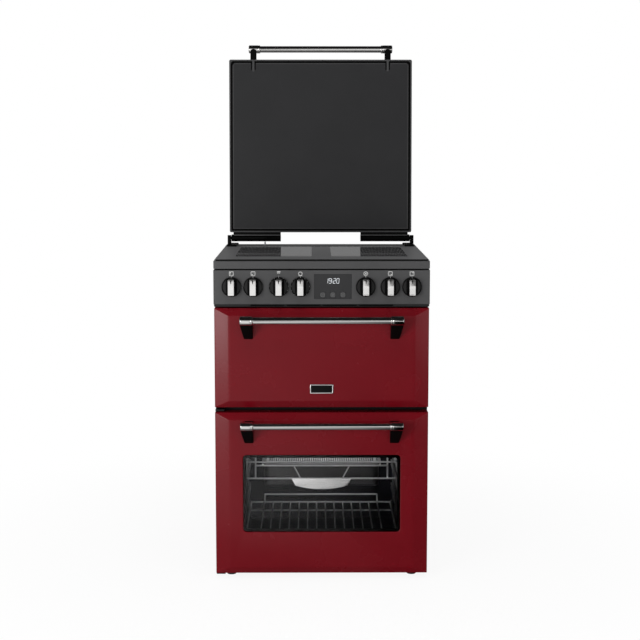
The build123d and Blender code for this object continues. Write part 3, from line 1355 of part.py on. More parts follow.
with BuildPart() as roasting_tin:
    with BuildSketch(level(tin_z)):
        with Locations(tin_mid):
            RectangleRounded(TIN_WIDTH, TIN_LENGTH, TIN_CORNER)
    extrude(amount=TIN_DEPTH)
    fillet(roasting_tin.faces().sort_by(Axis.Z)[0].edges(), TIN_FOOT_ROUND)
    with BuildSketch(level(rim_z)):
        with Locations(tin_mid):
            rim = 2 * TIN_RIM
            RectangleRounded(TIN_WIDTH + rim, TIN_LENGTH + rim, TIN_CORNER + TIN_RIM)
    extrude(amount=-TIN_SHEET)
    add(tin_hollow.part, mode=Mode.SUBTRACT)
save(roasting_tin, "roasting_tin")

# Trivet in the tin: a slotted plate on four legs
with BuildPart() as tin_trivet:
    trivet_z = rim_z - TRIVET_DROP
    trivet_width = TIN_WIDTH - 2 * (TIN_SHEET + TRIVET_GAP)
    trivet_length = TIN_LENGTH - 2 * (TIN_SHEET + TRIVET_GAP)
    with BuildSketch(level(trivet_z)):
        with Locations(tin_mid):
            RectangleRounded(trivet_width, trivet_length, TIN_CORNER - TRIVET_GAP)
            with GridLocations(TRIVET_SLOT_PITCH, 0, TRIVET_SLOT_COUNT, 1):
                slot_length = trivet_length - 2 * TRIVET_BORDER
                Rectangle(TRIVET_SLOT_WIDTH, slot_length, mode=Mode.SUBTRACT)
    extrude(amount=-TRIVET_SHEET)
    leg_reach = trivet_width / 2 - TRIVET_LEG_INSET
    leg_top = trivet_z - TRIVET_SHEET / 2
    for leg_x in (-leg_reach, leg_reach):
        for leg_d in (TIN_FRONT + TRIVET_LEG_INSET, TIN_FRONT + TIN_LENGTH - TRIVET_LEG_INSET):
            rod((leg_x, leg_d, tin_z + TIN_SHEET), (leg_x, leg_d, leg_top), TRIVET_LEG)
save(tin_trivet, "tin_trivet")

# The lid's own plane: its x is X, its y runs up the lid from the hinge axis, and it points forwards
lid_plane = Plane(
    origin=(0, at(HINGE_DEPTH), hinge_z),
    x_dir=(1, 0, 0),
    z_dir=(0, -math.cos(lean), math.sin(lean)),
)
lid_middle = LID_START + LID_LENGTH / 2
lid_top = LID_START + LID_LENGTH
lid_back = LID_FACE - LID_THICK
recess_width = LID_WIDTH - 2 * LID_BORDER
recess_length = LID_LENGTH - 2 * LID_BORDER
recess_corner = LINER_CORNER + LID_GROOVE


def lid_block(x0, x1, h0, h1, n0, n1, mode=Mode.ADD):
    """Block in the lid's own plane between two widths, reaches from the hinge and depths."""
    with BuildSketch(lid_plane.offset(n0)) as outline:
        with Locations(((x0 + x1) / 2, (h0 + h1) / 2)):
            Rectangle(x1 - x0, h1 - h0)
    extrude(outline.sketch, amount=n1 - n0, mode=mode)


# Lid shell: a shallow pan with a border and two tabs under the handle's posts
with BuildPart() as lid_shell:
    with BuildSketch(lid_plane.offset(lid_back)):
        with Locations((0, lid_middle)):
            RectangleRounded(LID_WIDTH, LID_LENGTH, LID_CORNER)
    extrude(amount=LID_THICK)
    with BuildSketch(lid_plane.offset(lid_back + LID_SHEET)):
        with Locations((0, lid_middle)):
            RectangleRounded(recess_width, recess_length, recess_corner)
    extrude(amount=LID_THICK - LID_SHEET, mode=Mode.SUBTRACT)
    tab_top = lid_top - LID_BORDER / 2
    tab_low = lid_top - LID_BORDER - TAB_LENGTH
    for side in (-1, 1):
        tab_x = side * TAB_X
        x0 = tab_x - TAB_WIDTH / 2
        lid_block(x0, x0 + TAB_WIDTH, tab_low, tab_top, lid_back + LID_SHEET, LID_FACE)
save(lid_shell, "lid_shell")

# Lid liner: the inset panel, hollow behind, notched round the tabs
with BuildPart() as lid_liner:
    liner_face = LID_FACE - LINER_SET_BACK
    liner_back = lid_back + LID_SHEET
    liner_width = recess_width - 2 * LID_GROOVE
    liner_length = recess_length - 2 * LID_GROOVE
    with BuildSketch(lid_plane.offset(liner_back)):
        with Locations((0, lid_middle)):
            RectangleRounded(liner_width, liner_length, LINER_CORNER)
    extrude(amount=liner_face - liner_back)
    with BuildSketch(lid_plane.offset(liner_back)):
        with Locations((0, lid_middle)):
            Rectangle(liner_width - 2 * LINER_RIM, liner_length - 2 * LINER_RIM)
    extrude(amount=liner_face - liner_back - LINER_SHEET, mode=Mode.SUBTRACT)
    for side in (-1, 1):
        notch_x = side * TAB_X
        notch_half = TAB_WIDTH / 2 + TAB_GROOVE
        notch = (notch_x - notch_half, notch_x + notch_half, tab_low - TAB_GROOVE, lid_top)
        lid_block(*notch, liner_back, liner_face, Mode.SUBTRACT)
save(lid_liner, "lid_liner")

# Lid posts: rounded plates that reach over half of the bar's ferrules, flanged behind the shell
lid_bar_plane = Plane(
    origin=lid_plane.from_local_coords((0, LID_BAR_REACH, LID_BAR_SET)),
    x_dir=(1, 0, 0),
    z_dir=lid_plane.z_dir,
)
with BuildPart() as lid_posts:
    post_round = LID_BAR_REACH - POST_WIDTH / 2
    post_low = lid_top + SMALL_GAP
    for side in (-1, 1):
        post_x = side * TAB_X
        with BuildSketch(lid_plane.offset(POST_FACE)):
            with Locations((post_x, (post_low + post_round) / 2)):
                Rectangle(POST_WIDTH, post_round - post_low)
            with Locations((post_x, post_round)):
                Circle(POST_WIDTH / 2)
        extrude(amount=-POST_THICK)
        flange_x = post_x - POST_FLANGE / 2
        flange_back = lid_back - POST_FLANGE_THICK
        flange = (flange_x, flange_x + POST_FLANGE, lid_top - POST_FLANGE_DROP, lid_top - SMALL_GAP)
        lid_block(*flange, flange_back, lid_back)
        neck = (post_x - POST_WIDTH / 2, post_x + POST_WIDTH / 2, lid_top - POST_FLANGE_LIP)
        lid_block(*neck, post_low + POST_FLANGE_LIP, flange_back, lid_back)
    with BuildSketch(Plane(origin=lid_bar_plane.origin, z_dir=(1, 0, 0))):
        Circle(FERRULE_DIAMETER / 2 + RUN_FIT)
    extrude(amount=half, both=True, mode=Mode.SUBTRACT)
save(lid_posts, "lid_posts")

lid_bar = handle_bar(lid_bar_plane)
save(lid_bar, "lid_bar")

# Lid hinge bars: tubes on the posts' axles, with the flange that clamps the lid and the switch cam
with BuildPart() as lid_hinge_bars:
    length = HINGE_BAR_OUTER - HINGE_BAR_INNER
    for side in (-1, 1):
        x0, x1 = sorted((side * HINGE_BAR_INNER, side * CLAMP_OUTER))
        clamp_top = LID_START + CLAMP_BACK_LENGTH
        back_start = AXLE_DIAMETER / 2 + TUBE_WALL_BITE
        lid_block(x0, x1, back_start, clamp_top, lid_back - CLAMP_BACK_THICK, lid_back)
        lid_block(x0, x1, CLAMP_START, LID_START - SMALL_GAP, lid_back - CLAMP_LAP, LID_FACE)
        if side * CAM_X > 0:
            cam = (CAM_X - CAM_WIDTH / 2, CAM_X + CAM_WIDTH / 2, -CAM_HALF, CAM_HALF)
            lid_block(*cam, AXLE_DIAMETER / 2 + TUBE_WALL_BITE, CAM_REACH)
        with BuildSketch(sideways(side * HINGE_BAR_INNER)):
            with Locations((at(HINGE_DEPTH), hinge_z)):
                Circle(HINGE_BAR_DIAMETER / 2)
        extrude(amount=side * length)
        with BuildSketch(sideways(side * HINGE_BAR_INNER)):
            with Locations((at(HINGE_DEPTH), hinge_z)):
                Circle(AXLE_DIAMETER / 2 + RUN_FIT)
        extrude(amount=side * length, mode=Mode.SUBTRACT)
save(lid_hinge_bars, "lid_hinge_bars")

# Lid hinge posts: feet on the rear trim, uprights and the axles inside the hinge bars
with BuildPart() as lid_hinge_posts:
    foot_inner = HINGE_POST_OUTER - HINGE_FOOT_WIDTH
    post_inner = HINGE_POST_OUTER - HINGE_POST_WIDTH
    for side in (-1, 1):
        with BuildSketch(level(trim_z)):
            foot_x = side * (foot_inner + HINGE_FOOT_WIDTH / 2)
            with Locations((foot_x, at(DEPTH - HINGE_FOOT_LENGTH / 2 - GLASS_SET_IN))):
                RectangleRounded(HINGE_FOOT_WIDTH, HINGE_FOOT_LENGTH, HINGE_FOOT_CORNER)
        extrude(amount=HINGE_FOOT_HEIGHT)
    fillet(lid_hinge_posts.faces().group_by(Axis.Z)[-1].edges(), HINGE_FOOT_ROUND)
    for side in (-1, 1):
        with BuildSketch(sideways(side * post_inner)):
            with Locations((at(HINGE_DEPTH), hinge_z)):
                Circle(HINGE_POST_RADIUS)
            with Locations((at(HINGE_DEPTH), (trim_z + hinge_z) / 2)):
                Rectangle(2 * HINGE_POST_RADIUS, hinge_z - trim_z)
        extrude(amount=side * HINGE_POST_WIDTH)
        axle_start = (side * (post_inner + HINGE_POST_WIDTH / 2), HINGE_DEPTH, hinge_z)
        rod(axle_start, (side * (post_inner - AXLE_LENGTH), HINGE_DEPTH, hinge_z), AXLE_DIAMETER)
save(lid_hinge_posts, "lid_hinge_posts")

# Lid switch pin: stands in the rear trim under the left hinge bar
with BuildPart() as lid_switch_pin:
    pin_z = hinge_z - HINGE_BAR_DIAMETER / 2 - SWITCH_PIN_GAP
    pin_low_z = pin_z - SWITCH_PIN_LENGTH
    rod((CAM_X, HINGE_DEPTH, pin_low_z), (CAM_X, HINGE_DEPTH, pin_z), SWITCH_PIN_DIAMETER)
    fillet(lid_switch_pin.faces().sort_by(Axis.Z)[-1].edges(), SWITCH_PIN_ROUND)
save(lid_switch_pin, "lid_switch_pin")
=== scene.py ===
"""Looks of a freestanding induction range cooker with a raised lid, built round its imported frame.

The file is laid out as an add-on and is run as a script. Lengths are metres, and +Z is up.
New pieces are numpy surfaces: each shape function returns points and faces, and says its formula.
"""

import json
import math

import bmesh
import bpy
import numpy as np
from bpy.props import FloatProperty, FloatVectorProperty, IntProperty, PointerProperty
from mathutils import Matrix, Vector

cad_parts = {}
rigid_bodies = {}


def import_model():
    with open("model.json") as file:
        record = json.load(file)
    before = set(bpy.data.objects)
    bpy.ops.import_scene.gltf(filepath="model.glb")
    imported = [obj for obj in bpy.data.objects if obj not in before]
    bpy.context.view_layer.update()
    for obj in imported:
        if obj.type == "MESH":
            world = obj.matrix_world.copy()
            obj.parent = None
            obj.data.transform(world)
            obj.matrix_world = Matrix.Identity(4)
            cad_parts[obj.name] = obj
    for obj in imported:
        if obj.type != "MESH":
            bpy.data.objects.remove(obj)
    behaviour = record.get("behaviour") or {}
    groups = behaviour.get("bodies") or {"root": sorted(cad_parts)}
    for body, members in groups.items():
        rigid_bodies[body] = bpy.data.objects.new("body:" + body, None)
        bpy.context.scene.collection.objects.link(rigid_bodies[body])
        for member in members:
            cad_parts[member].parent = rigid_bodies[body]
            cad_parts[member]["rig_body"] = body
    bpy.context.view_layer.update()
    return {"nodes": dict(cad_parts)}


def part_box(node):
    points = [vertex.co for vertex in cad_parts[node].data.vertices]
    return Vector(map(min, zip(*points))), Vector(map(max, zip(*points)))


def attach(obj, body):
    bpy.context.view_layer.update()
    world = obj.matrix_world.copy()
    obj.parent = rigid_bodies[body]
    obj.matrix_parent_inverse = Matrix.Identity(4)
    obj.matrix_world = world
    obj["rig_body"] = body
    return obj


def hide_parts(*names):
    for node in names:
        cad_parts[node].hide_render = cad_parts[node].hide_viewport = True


bl_info = {
    "name": "Range cooker looks",
    "version": (1, 0, 0),
    "blender": (4, 5, 0),
    "location": "3D View > Sidebar > Cooker",
    "description": "Builds the finishes and fine pieces of a range cooker round its frame",
    "category": "Object",
}

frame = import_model()
MM = 0.001

# The fascia's face is the plane that depths are counted from
FRONT_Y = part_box("fascia")[0].y
FORWARD = (0, -1, 0)
KNOB_NAMES = [f"knob_{number}" for number in range(1, 8)]
BUTTON_NAMES = [f"clock_button_{number}" for number in range(1, 4)]
# Knobs with marks all round their discs
SCALED_KNOBS = ("knob_3", "knob_4")
# Metres that a grip's face leans back for each square metre of its height above the middle
GRIP_LEAN = 4.8
# Length of the ferrule at each end of a bar
FERRULE = 36 * MM

# Millimetres on the doors: depth of the back edge, thickness of the sheet, height of the raised
# middle, and the notches' ends and front
DOOR_BACK, DOOR_SHEET, DOOR_RAISE = 42.0, 1.2, 10.0
NOTCH_IN, NOTCH_OUT, NOTCH_FRONT = 283.0, 291.0, 1.9

# Depths in millimetres at which prints lie on the fascia, the knob discs, the clock and its buttons
FASCIA_PRINT, DISC_PRINT, CLOCK_PRINT, BUTTON_PRINT = -0.02, -5.98, -0.53, -2.0

# The lid leans back from its hinge. Millimetres in its plane: half the shell's width, reaches of
# its ends from the hinge, the border round the liner, and the place and foot of the liner's
# notches for the post tabs
LID_LEAN = math.radians(3.0)
HINGE = Vector((0, FRONT_Y + 555 * MM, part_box("hob_glass")[1].z + 20 * MM))
LID_HALF, LID_START, LID_END = 286.5, 18.0, 558.8
LINER_BORDER = 10.6
TAB_X, TAB_FOOT = 210.5, 526.5

# Camera: focal length in pixels of a photograph of that width, place, turns about X, Y and Z in
# degrees, and a shift that keeps the verticals nearer to the photograph's
FOCAL_LENGTH, PHOTO_WIDTH = 1355.0, 640
CAMERA_PLACE = (-0.0237, -3.998, 1.2366)
CAMERA_TURN = (90 - 6.344, 0, -0.292)
CAMERA_SHIFT = -0.045

# Light: the world's fill on matt surfaces, and soft lamps that face one target, as name, place,
# size, power and whether metal mirrors them
MATT_FILL = 0.52
LAMP_TARGET = (0, -0.2, 0.6)
LAMPS = (
    ("left softbox", (-2.3, -3.3, 0.95), (1.3, 1.7), 76.0, True),
    ("right softbox", (2.5, -3.1, 0.95), (1.2, 1.7), 10.0, True),
    ("overhead", (0.0, -1.2, 4.0), (2.4, 2.4), 60.0, False),
)
FLOOR_REACH = 60.0


def at(depth):
    """Y of a depth in millimetres behind the fascia's face."""
    return FRONT_Y + depth * MM


def middle(node):
    """Middle of a node's box."""
    low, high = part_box(node)
    return (low + high) / 2


# Shapes: outlines are rows of points, and the others return (points, faces)


def grid_faces(rows, columns, wrap_rows=False, wrap_columns=False):
    """Quads between neighbours of a rows by columns grid of points."""
    row = np.arange(rows if wrap_rows else rows - 1)
    column = np.arange(columns if wrap_columns else columns - 1)
    row, column = np.meshgrid(row, column, indexing="ij")
    next_row = (row + 1) % rows
    next_column = (column + 1) % columns
    corners = (
        row * columns + column,
        next_row * columns + column,
        next_row * columns + next_column,
        row * columns + next_column,
    )
    return np.stack(corners, -1).reshape(-1, 4).tolist()


def joined(*shapes):
    """Several shapes as one, with each face's indices moved past the points before it."""
    points, faces, start = [], [], 0
    for shape_points, shape_faces in shapes:
        points.append(shape_points)
        faces += [[index + start for index in face] for face in shape_faces]
        start += len(shape_points)
    return np.concatenate(points), faces


def rounded_outline(half_wide, half_tall, radius, steps=6):
    """Rounded rectangle as points: a quarter circle at each corner, at even angles."""
    radius = min(radius, half_wide, half_tall)
    turn = np.linspace(0, math.pi / 2, steps)
    outline = []
    for quarter, (side, up) in enumerate(((1, 1), (-1, 1), (-1, -1), (1, -1))):
        angle = turn + quarter * math.pi / 2
        x = side * (half_wide - radius) + radius * np.cos(angle)
        y = up * (half_tall - radius) + radius * np.sin(angle)
        outline.append(np.stack([x, y], -1))
    return np.concatenate(outline)


def stacked(outlines, cap_ends=True, wrap=False):
    """Skin through outlines of equal counts, as rows of a grid, with a flat face at each end."""
    outlines = np.asarray(outlines)
    rows, columns = outlines.shape[:2]
    faces = grid_faces(rows, columns, wrap_rows=wrap, wrap_columns=True)
    if cap_ends and not wrap:
        faces.append(list(range(columns))[::-1])
        faces.append([(rows - 1) * columns + index for index in range(columns)])
    return outlines.reshape(-1, 3), faces


def front_outline(centre, half_wide, half_tall, radius, depth, steps=6):
    """Rounded rectangle in a plane that faces the front, at a depth in millimetres."""
    x, z = rounded_outline(half_wide, half_tall, radius, steps).T
    return np.stack([centre[0] + x, np.full_like(x, at(depth)), centre[1] + z], -1)


def level_outline(centre, half_wide, half_long, radius, height):
    """Rounded rectangle in a level plane, at a height in metres."""
    x, y = rounded_outline(half_wide, half_long, radius).T
    return np.stack([centre[0] + x, centre[1] + y, np.full_like(x, height)], -1)


def shell(outside, inside):
    """Closed shell of two stacks of rings: the outside's last ring and the inside's first are
    capped, and a band joins the outside's first ring to the inside's last."""
    columns = len(outside[0])
    points, faces = joined(stacked(outside, cap_ends=False), stacked(inside, cap_ends=False))
    turn = np.arange(columns)
    after = (turn + 1) % columns
    seam, rim = len(outside) * columns, len(points) - columns
    faces += [(seam - columns + turn).tolist(), (seam + turn)[::-1].tolist()]
    faces += np.stack([turn, after, rim + after, rim + turn], -1).tolist()
    return points, faces


def frame_for(axis):
    """Two unit vectors square to an axis and to each other."""
    axis = Vector(axis).normalized()
    helper = Vector((0, 0, 1)) if abs(axis.z) < 0.9 else Vector((1, 0, 0))
    side = axis.cross(helper).normalized()
    return np.array(axis), np.array(side), np.array(axis.cross(side))


def turned(profile, origin, axis, steps=48, wrap=False):
    """Surface of revolution: each (reach, radius) of the profile becomes a circle on the axis; a
    closed profile wraps into a ring."""
    axis, side, up = frame_for(axis)
    profile = np.asarray(profile, float)
    angle = np.linspace(0, 2 * math.pi, steps, endpoint=False)
    ring = np.cos(angle)[:, None] * side + np.sin(angle)[:, None] * up
    points = profile[:, None, 1:2] * ring[None] + profile[:, None, 0:1] * axis
    return stacked(points + np.array(origin), wrap=wrap)


def rounded_profile(points, radius, steps=4):
    """Profile whose inner corners become arcs: quadratic curves cut in by a radius on each side."""
    points = [np.array(point, float) for point in points]
    t = np.linspace(0, 1, steps + 1)[:, None]
    smoothed = [points[0]]
    for before, corner, after in zip(points, points[1:], points[2:]):
        start, end = (
            corner + way / np.linalg.norm(way) * min(radius, np.linalg.norm(way) * 0.49)
            for way in (before - corner, after - corner)
        )
        smoothed += list((1 - t) ** 2 * start + 2 * t * (1 - t) * corner + t * t * end)
    smoothed.append(points[-1])
    return np.array(smoothed)


def flat_bar(start, end, width, depth, thick):
    """Thin raised stroke on a front-facing plane between two (x, z) points, with mitred ends: its
    corners lie half a width aside and half a width in from each point."""
    start, end = np.array(start, float), np.array(end, float)
    along = (end - start) / np.linalg.norm(end - start)
    across = np.array([-along[1], along[0]]) * width / 2
    tip = along * width / 2
    corners = (
        start, start + tip + across, end - tip + across,
        end, end - tip - across, start + tip - across,
    )
    return stacked([[(x, at(layer), z) for x, z in corners] for layer in (depth, depth - thick)])


def ring_stroke(centre, radius, width, depth, thick, steps=24):
    """Thin raised ring on a front-facing plane: a rectangle turned about the ring's middle."""
    inner, outer, high = radius - width / 2, radius + width / 2, thick * MM
    section = ((0, inner), (0, outer), (high, outer), (high, inner))
    return turned(section, (centre[0], at(depth), centre[1]), FORWARD, steps, wrap=True)


# Meshes


def tidy(mesh, loose_triangles=False):
    """Merge doubles. Loose triangles then become flat faces, and a new shape turns outwards."""
    work = bmesh.new()
    work.from_mesh(mesh)
    bmesh.ops.remove_doubles(work, verts=work.verts, dist=1e-6)
    if loose_triangles:
        bmesh.ops.dissolve_limit(
            work, angle_limit=math.radians(0.4), verts=work.verts, edges=work.edges,
            use_dissolve_boundaries=False,
        )
    else:
        bmesh.ops.recalc_face_normals(work, faces=work.faces)
    work.to_mesh(mesh)
    work.free()


def smooth(mesh, angle=32.0):
    """Shade smooth, with edges sharper than the angle kept sharp."""
    mesh.polygons.foreach_set("use_smooth", [True] * len(mesh.polygons))
    mesh.set_sharp_from_angle(angle=math.radians(angle))
    mesh.update()


def placed(name, data):
    """New object in the scene."""
    made = bpy.data.objects.new(name, data)
    bpy.context.scene.collection.objects.link(made)
    return made


def piece(name, shape, material, body, stands_for=()):
    """Put a shape in the scene as a finished piece that rides on a body."""
    points, faces = shape
    mesh = bpy.data.meshes.new(name)
    mesh.from_pydata(points.tolist(), [], faces)
    tidy(mesh)
    smooth(mesh)
    mesh.materials.append(material)
    made = placed(name, mesh)
    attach(made, body)
    if stands_for:
        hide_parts(*stands_for)
    return made


def second_finish(mesh, material, chosen):
    """Give one more finish to the faces whose middles pass a test on (x, y, z) columns."""
    index = len(mesh.materials)
    mesh.materials.append(material)
    middles = np.zeros(len(mesh.polygons) * 3)
    mesh.polygons.foreach_get("center", middles)
    before = np.zeros(len(mesh.polygons), np.int32)
    mesh.polygons.foreach_get("material_index", before)
    picked = chosen(*middles.reshape(-1, 3).T)
    mesh.polygons.foreach_set("material_index", np.where(picked, index, before).astype(np.int32))


def softened(node, width, angle):
    """Copy of a CAD node with its loose triangles merged and its edges rolled over."""
    source = frame["nodes"][node]
    mesh = source.data.copy()
    mesh.name = f"{node}_soft"
    tidy(mesh, loose_triangles=True)
    smooth(mesh, angle)
    for name, chosen in SECOND_FINISH.get(node, ()):
        second_finish(mesh, FINISHES[name], chosen)
    made = placed(f"{node}_soft", mesh)
    bevel = made.modifiers.new("rolled edges", "BEVEL")
    bevel.width = width
    bevel.segments = 2
    bevel.limit_method = "ANGLE"
    bevel.angle_limit = math.radians(angle)
    bevel.use_clamp_overlap = True
    bevel.harden_normals = True
    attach(made, source["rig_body"])
    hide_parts(node)
    return made


# Shader groups, each built once


def group(name, inputs, outputs):
    """New shader group with float inputs (name, default) and outputs (name, socket type)."""
    tree = bpy.data.node_groups.new(name, "ShaderNodeTree")
    for label, default in inputs:
        socket = tree.interface.new_socket(label, in_out="INPUT", socket_type="NodeSocketFloat")
        socket.default_value = default
    for label, kind in outputs:
        tree.interface.new_socket(label, in_out="OUTPUT", socket_type=kind)
    return tree, tree.nodes.new("NodeGroupInput"), tree.nodes.new("NodeGroupOutput")


def feed(tree, value, socket):
    """Give an input socket a plain number, or a link from an output socket."""
    if isinstance(value, (int, float)):
        socket.default_value = value
    else:
        tree.links.new(value, socket)


def math_node(tree, operation, *values):
    """Math node on sockets or plain numbers; returns its output."""
    made = tree.nodes.new("ShaderNodeMath")
    made.operation = operation
    for socket, value in zip(made.inputs, values):
        feed(tree, value, socket)
    return made.outputs[0]


def product(tree, first, *others):
    """Product of sockets and plain numbers, multiplied one after another."""
    for value in others:
        first = math_node(tree, "MULTIPLY", first, value)
    return first


def object_place(tree):
    """Place of a point on the object, in metres."""
    return tree.nodes.new("ShaderNodeTexCoord").outputs["Object"]


def split(tree, vector):
    """X, Y and Z sockets of a vector."""
    made = tree.nodes.new("ShaderNodeSeparateXYZ")
    tree.links.new(vector, made.inputs["Vector"])
    return made.outputs["X"], made.outputs["Y"], made.outputs["Z"]


def noise_node(tree, vector, scale, detail):
    """Noise on a vector; the scale is a socket or a number. Returns its factor."""
    made = tree.nodes.new("ShaderNodeTexNoise")
    for label, value in (("Vector", vector), ("Scale", scale), ("Detail", detail)):
        feed(tree, value, made.inputs[label])
    return made.outputs["Fac"]


def bump_node(tree, height, strength, distance):
    """Bump from a height socket; returns the normal."""
    made = tree.nodes.new("ShaderNodeBump")
    for label, value in (("Height", height), ("Strength", strength), ("Distance", distance)):
        feed(tree, value, made.inputs[label])
    return made.outputs["Normal"]


def surface_group(name, **defaults):
    """New group that puts out a surface's roughness, normal and tone."""
    outputs = (
        ("Roughness", "NodeSocketFloat"), ("Normal", "NodeSocketVector"),
        ("Tone", "NodeSocketFloat"),
    )
    return group(name, defaults.items(), outputs)


def surface_results(tree, given, out, shift, normal, tone):
    """Put out a surface: its roughness is the given one plus a shift times the variation."""
    change = math_node(tree, "MULTIPLY", shift, given.outputs["Variation"])
    rough = math_node(tree, "ADD", change, given.outputs["Roughness"])
    for label, socket in (("Roughness", rough), ("Normal", normal), ("Tone", tone)):
        tree.links.new(socket, out.inputs[label])
    return tree


def skin_group():
    """Fine waviness of sprayed or moulded surfaces, and slow changes of their gloss."""
    tree, given, out = surface_group(
        "painted skin", Scale=900.0, Depth=0.1, Roughness=0.4, Variation=0.06
    )
    place = object_place(tree)
    fine = noise_node(tree, place, given.outputs["Scale"], 2.0)
    normal = bump_node(tree, fine, given.outputs["Depth"], 0.0004)
    slow = math_node(tree, "SUBTRACT", noise_node(tree, place, 9.0, 4.0), 0.5)
    flakes = noise_node(tree, place, 2600.0, 1.0)
    tone = math_node(tree, "ADD", math_node(tree, "MULTIPLY", flakes, 0.6), slow)
    return surface_results(tree, given, out, slow, normal, tone)


def brushed_group():
    """Long fine scratches along X: noise squeezed across the brushing and stretched along it."""
    tree, given, out = surface_group(
        "brushed grain", Scale=700.0, Depth=0.15, Roughness=0.25, Variation=0.2
    )
    stretch = tree.nodes.new("ShaderNodeMapping")
    stretch.inputs["Scale"].default_value = (0.03, 1.0, 1.0)
    tree.links.new(object_place(tree), stretch.inputs["Vector"])
    lines = noise_node(tree, stretch.outputs["Vector"], given.outputs["Scale"], 4.0)
    normal = bump_node(tree, lines, given.outputs["Depth"], 0.0002)
    return surface_results(
        tree, given, out, math_node(tree, "SUBTRACT", lines, 0.5), normal, lines
    )


def speckle_group():
    """Mask of small scattered dots: 1 inside a dot, from the distance to random cell points."""
    tree, given, out = group(
        "speckle", (("Scale", 420.0), ("Size", 0.16)), (("Mask", "NodeSocketFloat"),)
    )
    cells = tree.nodes.new("ShaderNodeTexVoronoi")
    tree.links.new(object_place(tree), cells.inputs["Vector"])
    tree.links.new(given.outputs["Scale"], cells.inputs["Scale"])
    inside = math_node(tree, "LESS_THAN", cells.outputs["Distance"], given.outputs["Size"])
    tree.links.new(inside, out.inputs["Mask"])
    return tree


def fine_lines_group():
    """Mask of thin rays round a point: the angle about (Centre X, Centre Y) times a count."""
    tree, given, out = group(
        "fine rays",
        (("Centre X", 0.0), ("Centre Y", 0.0), ("Count", 90.0), ("Width", 0.3)),
        (("Mask", "NodeSocketFloat"),),
    )
    x, y, _ = split(tree, object_place(tree))
    x = math_node(tree, "SUBTRACT", x, given.outputs["Centre X"])
    y = math_node(tree, "SUBTRACT", y, given.outputs["Centre Y"])
    turns = product(tree, math_node(tree, "ARCTAN2", y, x), given.outputs["Count"])
    wave = math_node(tree, "SINE", turns)
    high = math_node(tree, "SUBTRACT", 1.0, given.outputs["Width"])
    tree.links.new(math_node(tree, "GREATER_THAN", wave, high), out.inputs["Mask"])
    return tree


GROUPS = {}


def place_group(tree, name, **values):
    """Add a shader group to a material with its own values, and return the node."""
    makers = {
        "skin": skin_group,
        "brushed": brushed_group,
        "speckle": speckle_group,
        "rays": fine_lines_group,
    }
    if name not in GROUPS:
        GROUPS[name] = makers[name]()
    made = tree.nodes.new("ShaderNodeGroup")
    made.node_tree = GROUPS[name]
    for label, value in values.items():
        made.inputs[label.replace("_", " ")].default_value = value
    return made


# Finishes


def finish(
    name, colour, scale, depth, roughness, variation=0.06, metallic=0.0, specular=0.3, spread=0.1,
    pattern="skin",
):
    """Principled finish. A shader group gives its roughness, its normal from a pattern's scale and
    depth, and the tone that shifts its colour by the spread."""
    material = bpy.data.materials.new(name)
    material.use_nodes = True
    tree = material.node_tree
    shader = tree.nodes["Principled BSDF"]
    shader.inputs["Base Color"].default_value = (*colour[:3], 1)
    shader.inputs["Metallic"].default_value = metallic
    shader.inputs["Specular IOR Level"].default_value = specular
    source = place_group(
        tree, pattern, Scale=scale, Depth=depth, Roughness=roughness, Variation=variation
    )
    tree.links.new(source.outputs["Roughness"], shader.inputs["Roughness"])
    tree.links.new(source.outputs["Normal"], shader.inputs["Normal"])
    if spread:
        darker = [value * (1 - spread) for value in colour[:3]]
        lighter = [min(1.0, value * (1 + spread)) for value in colour[:3]]
        two_tone(material, source.outputs["Tone"], darker, lighter)
    return material


def two_tone(material, mask, first, second):
    """Feed Base Color from a mask: the first colour where it is 0, the second where it is 1."""
    tree = material.node_tree
    mix = tree.nodes.new("ShaderNodeMix")
    mix.data_type = "RGBA"
    mix.inputs["A"].default_value = (*first, 1)
    mix.inputs["B"].default_value = (*second, 1)
    tree.links.new(mask, mix.inputs["Factor"])
    shader = tree.nodes["Principled BSDF"]
    tree.links.new(mix.outputs["Result"], shader.inputs["Base Color"])


def speckled(name, colour, dots, *values, **others):
    """Vitreous enamel: dark ground with small pale dots."""
    material = finish(name, colour, *values, spread=0, **others)
    mask = place_group(material.node_tree, "speckle", Scale=520.0, Size=0.13)
    two_tone(material, mask.outputs["Mask"], colour, dots)
    return material


def clear_glass(name, colour, roughness=0.0):
    """See-through pane: full transmission, tinted by its base colour."""
    material = finish(name, colour, 900, 0.0, roughness, 0.02, specular=0.06, spread=0)
    shader = material.node_tree.nodes["Principled BSDF"]
    shader.inputs["Transmission Weight"].default_value = 1.0
    # The panes' coating keeps their reflections faint
    shader.inputs["IOR"].default_value = 1.16
    return material


def glowing(name, colour, strength):
    """Lit print: plain colour with emission of the same colour."""
    material = finish(name, colour, 900, 0.0, 0.5, 0.02, spread=0)
    shader = material.node_tree.nodes["Principled BSDF"]
    shader.inputs["Emission Color"].default_value = (*colour, 1)
    shader.inputs["Emission Strength"].default_value = strength
    return material


def rayed_print(name, ground, line, centre, count):
    """Glossy glass print with fine rays round a point."""
    material = finish(name, ground, 300, 0.0, 0.035, 0.01, specular=0.5, spread=0)
    mask = place_group(
        material.node_tree, "rays", Centre_X=centre[0], Centre_Y=centre[1], Count=count, Width=0.6
    )
    two_tone(material, mask.outputs["Mask"], ground, line)
    return material


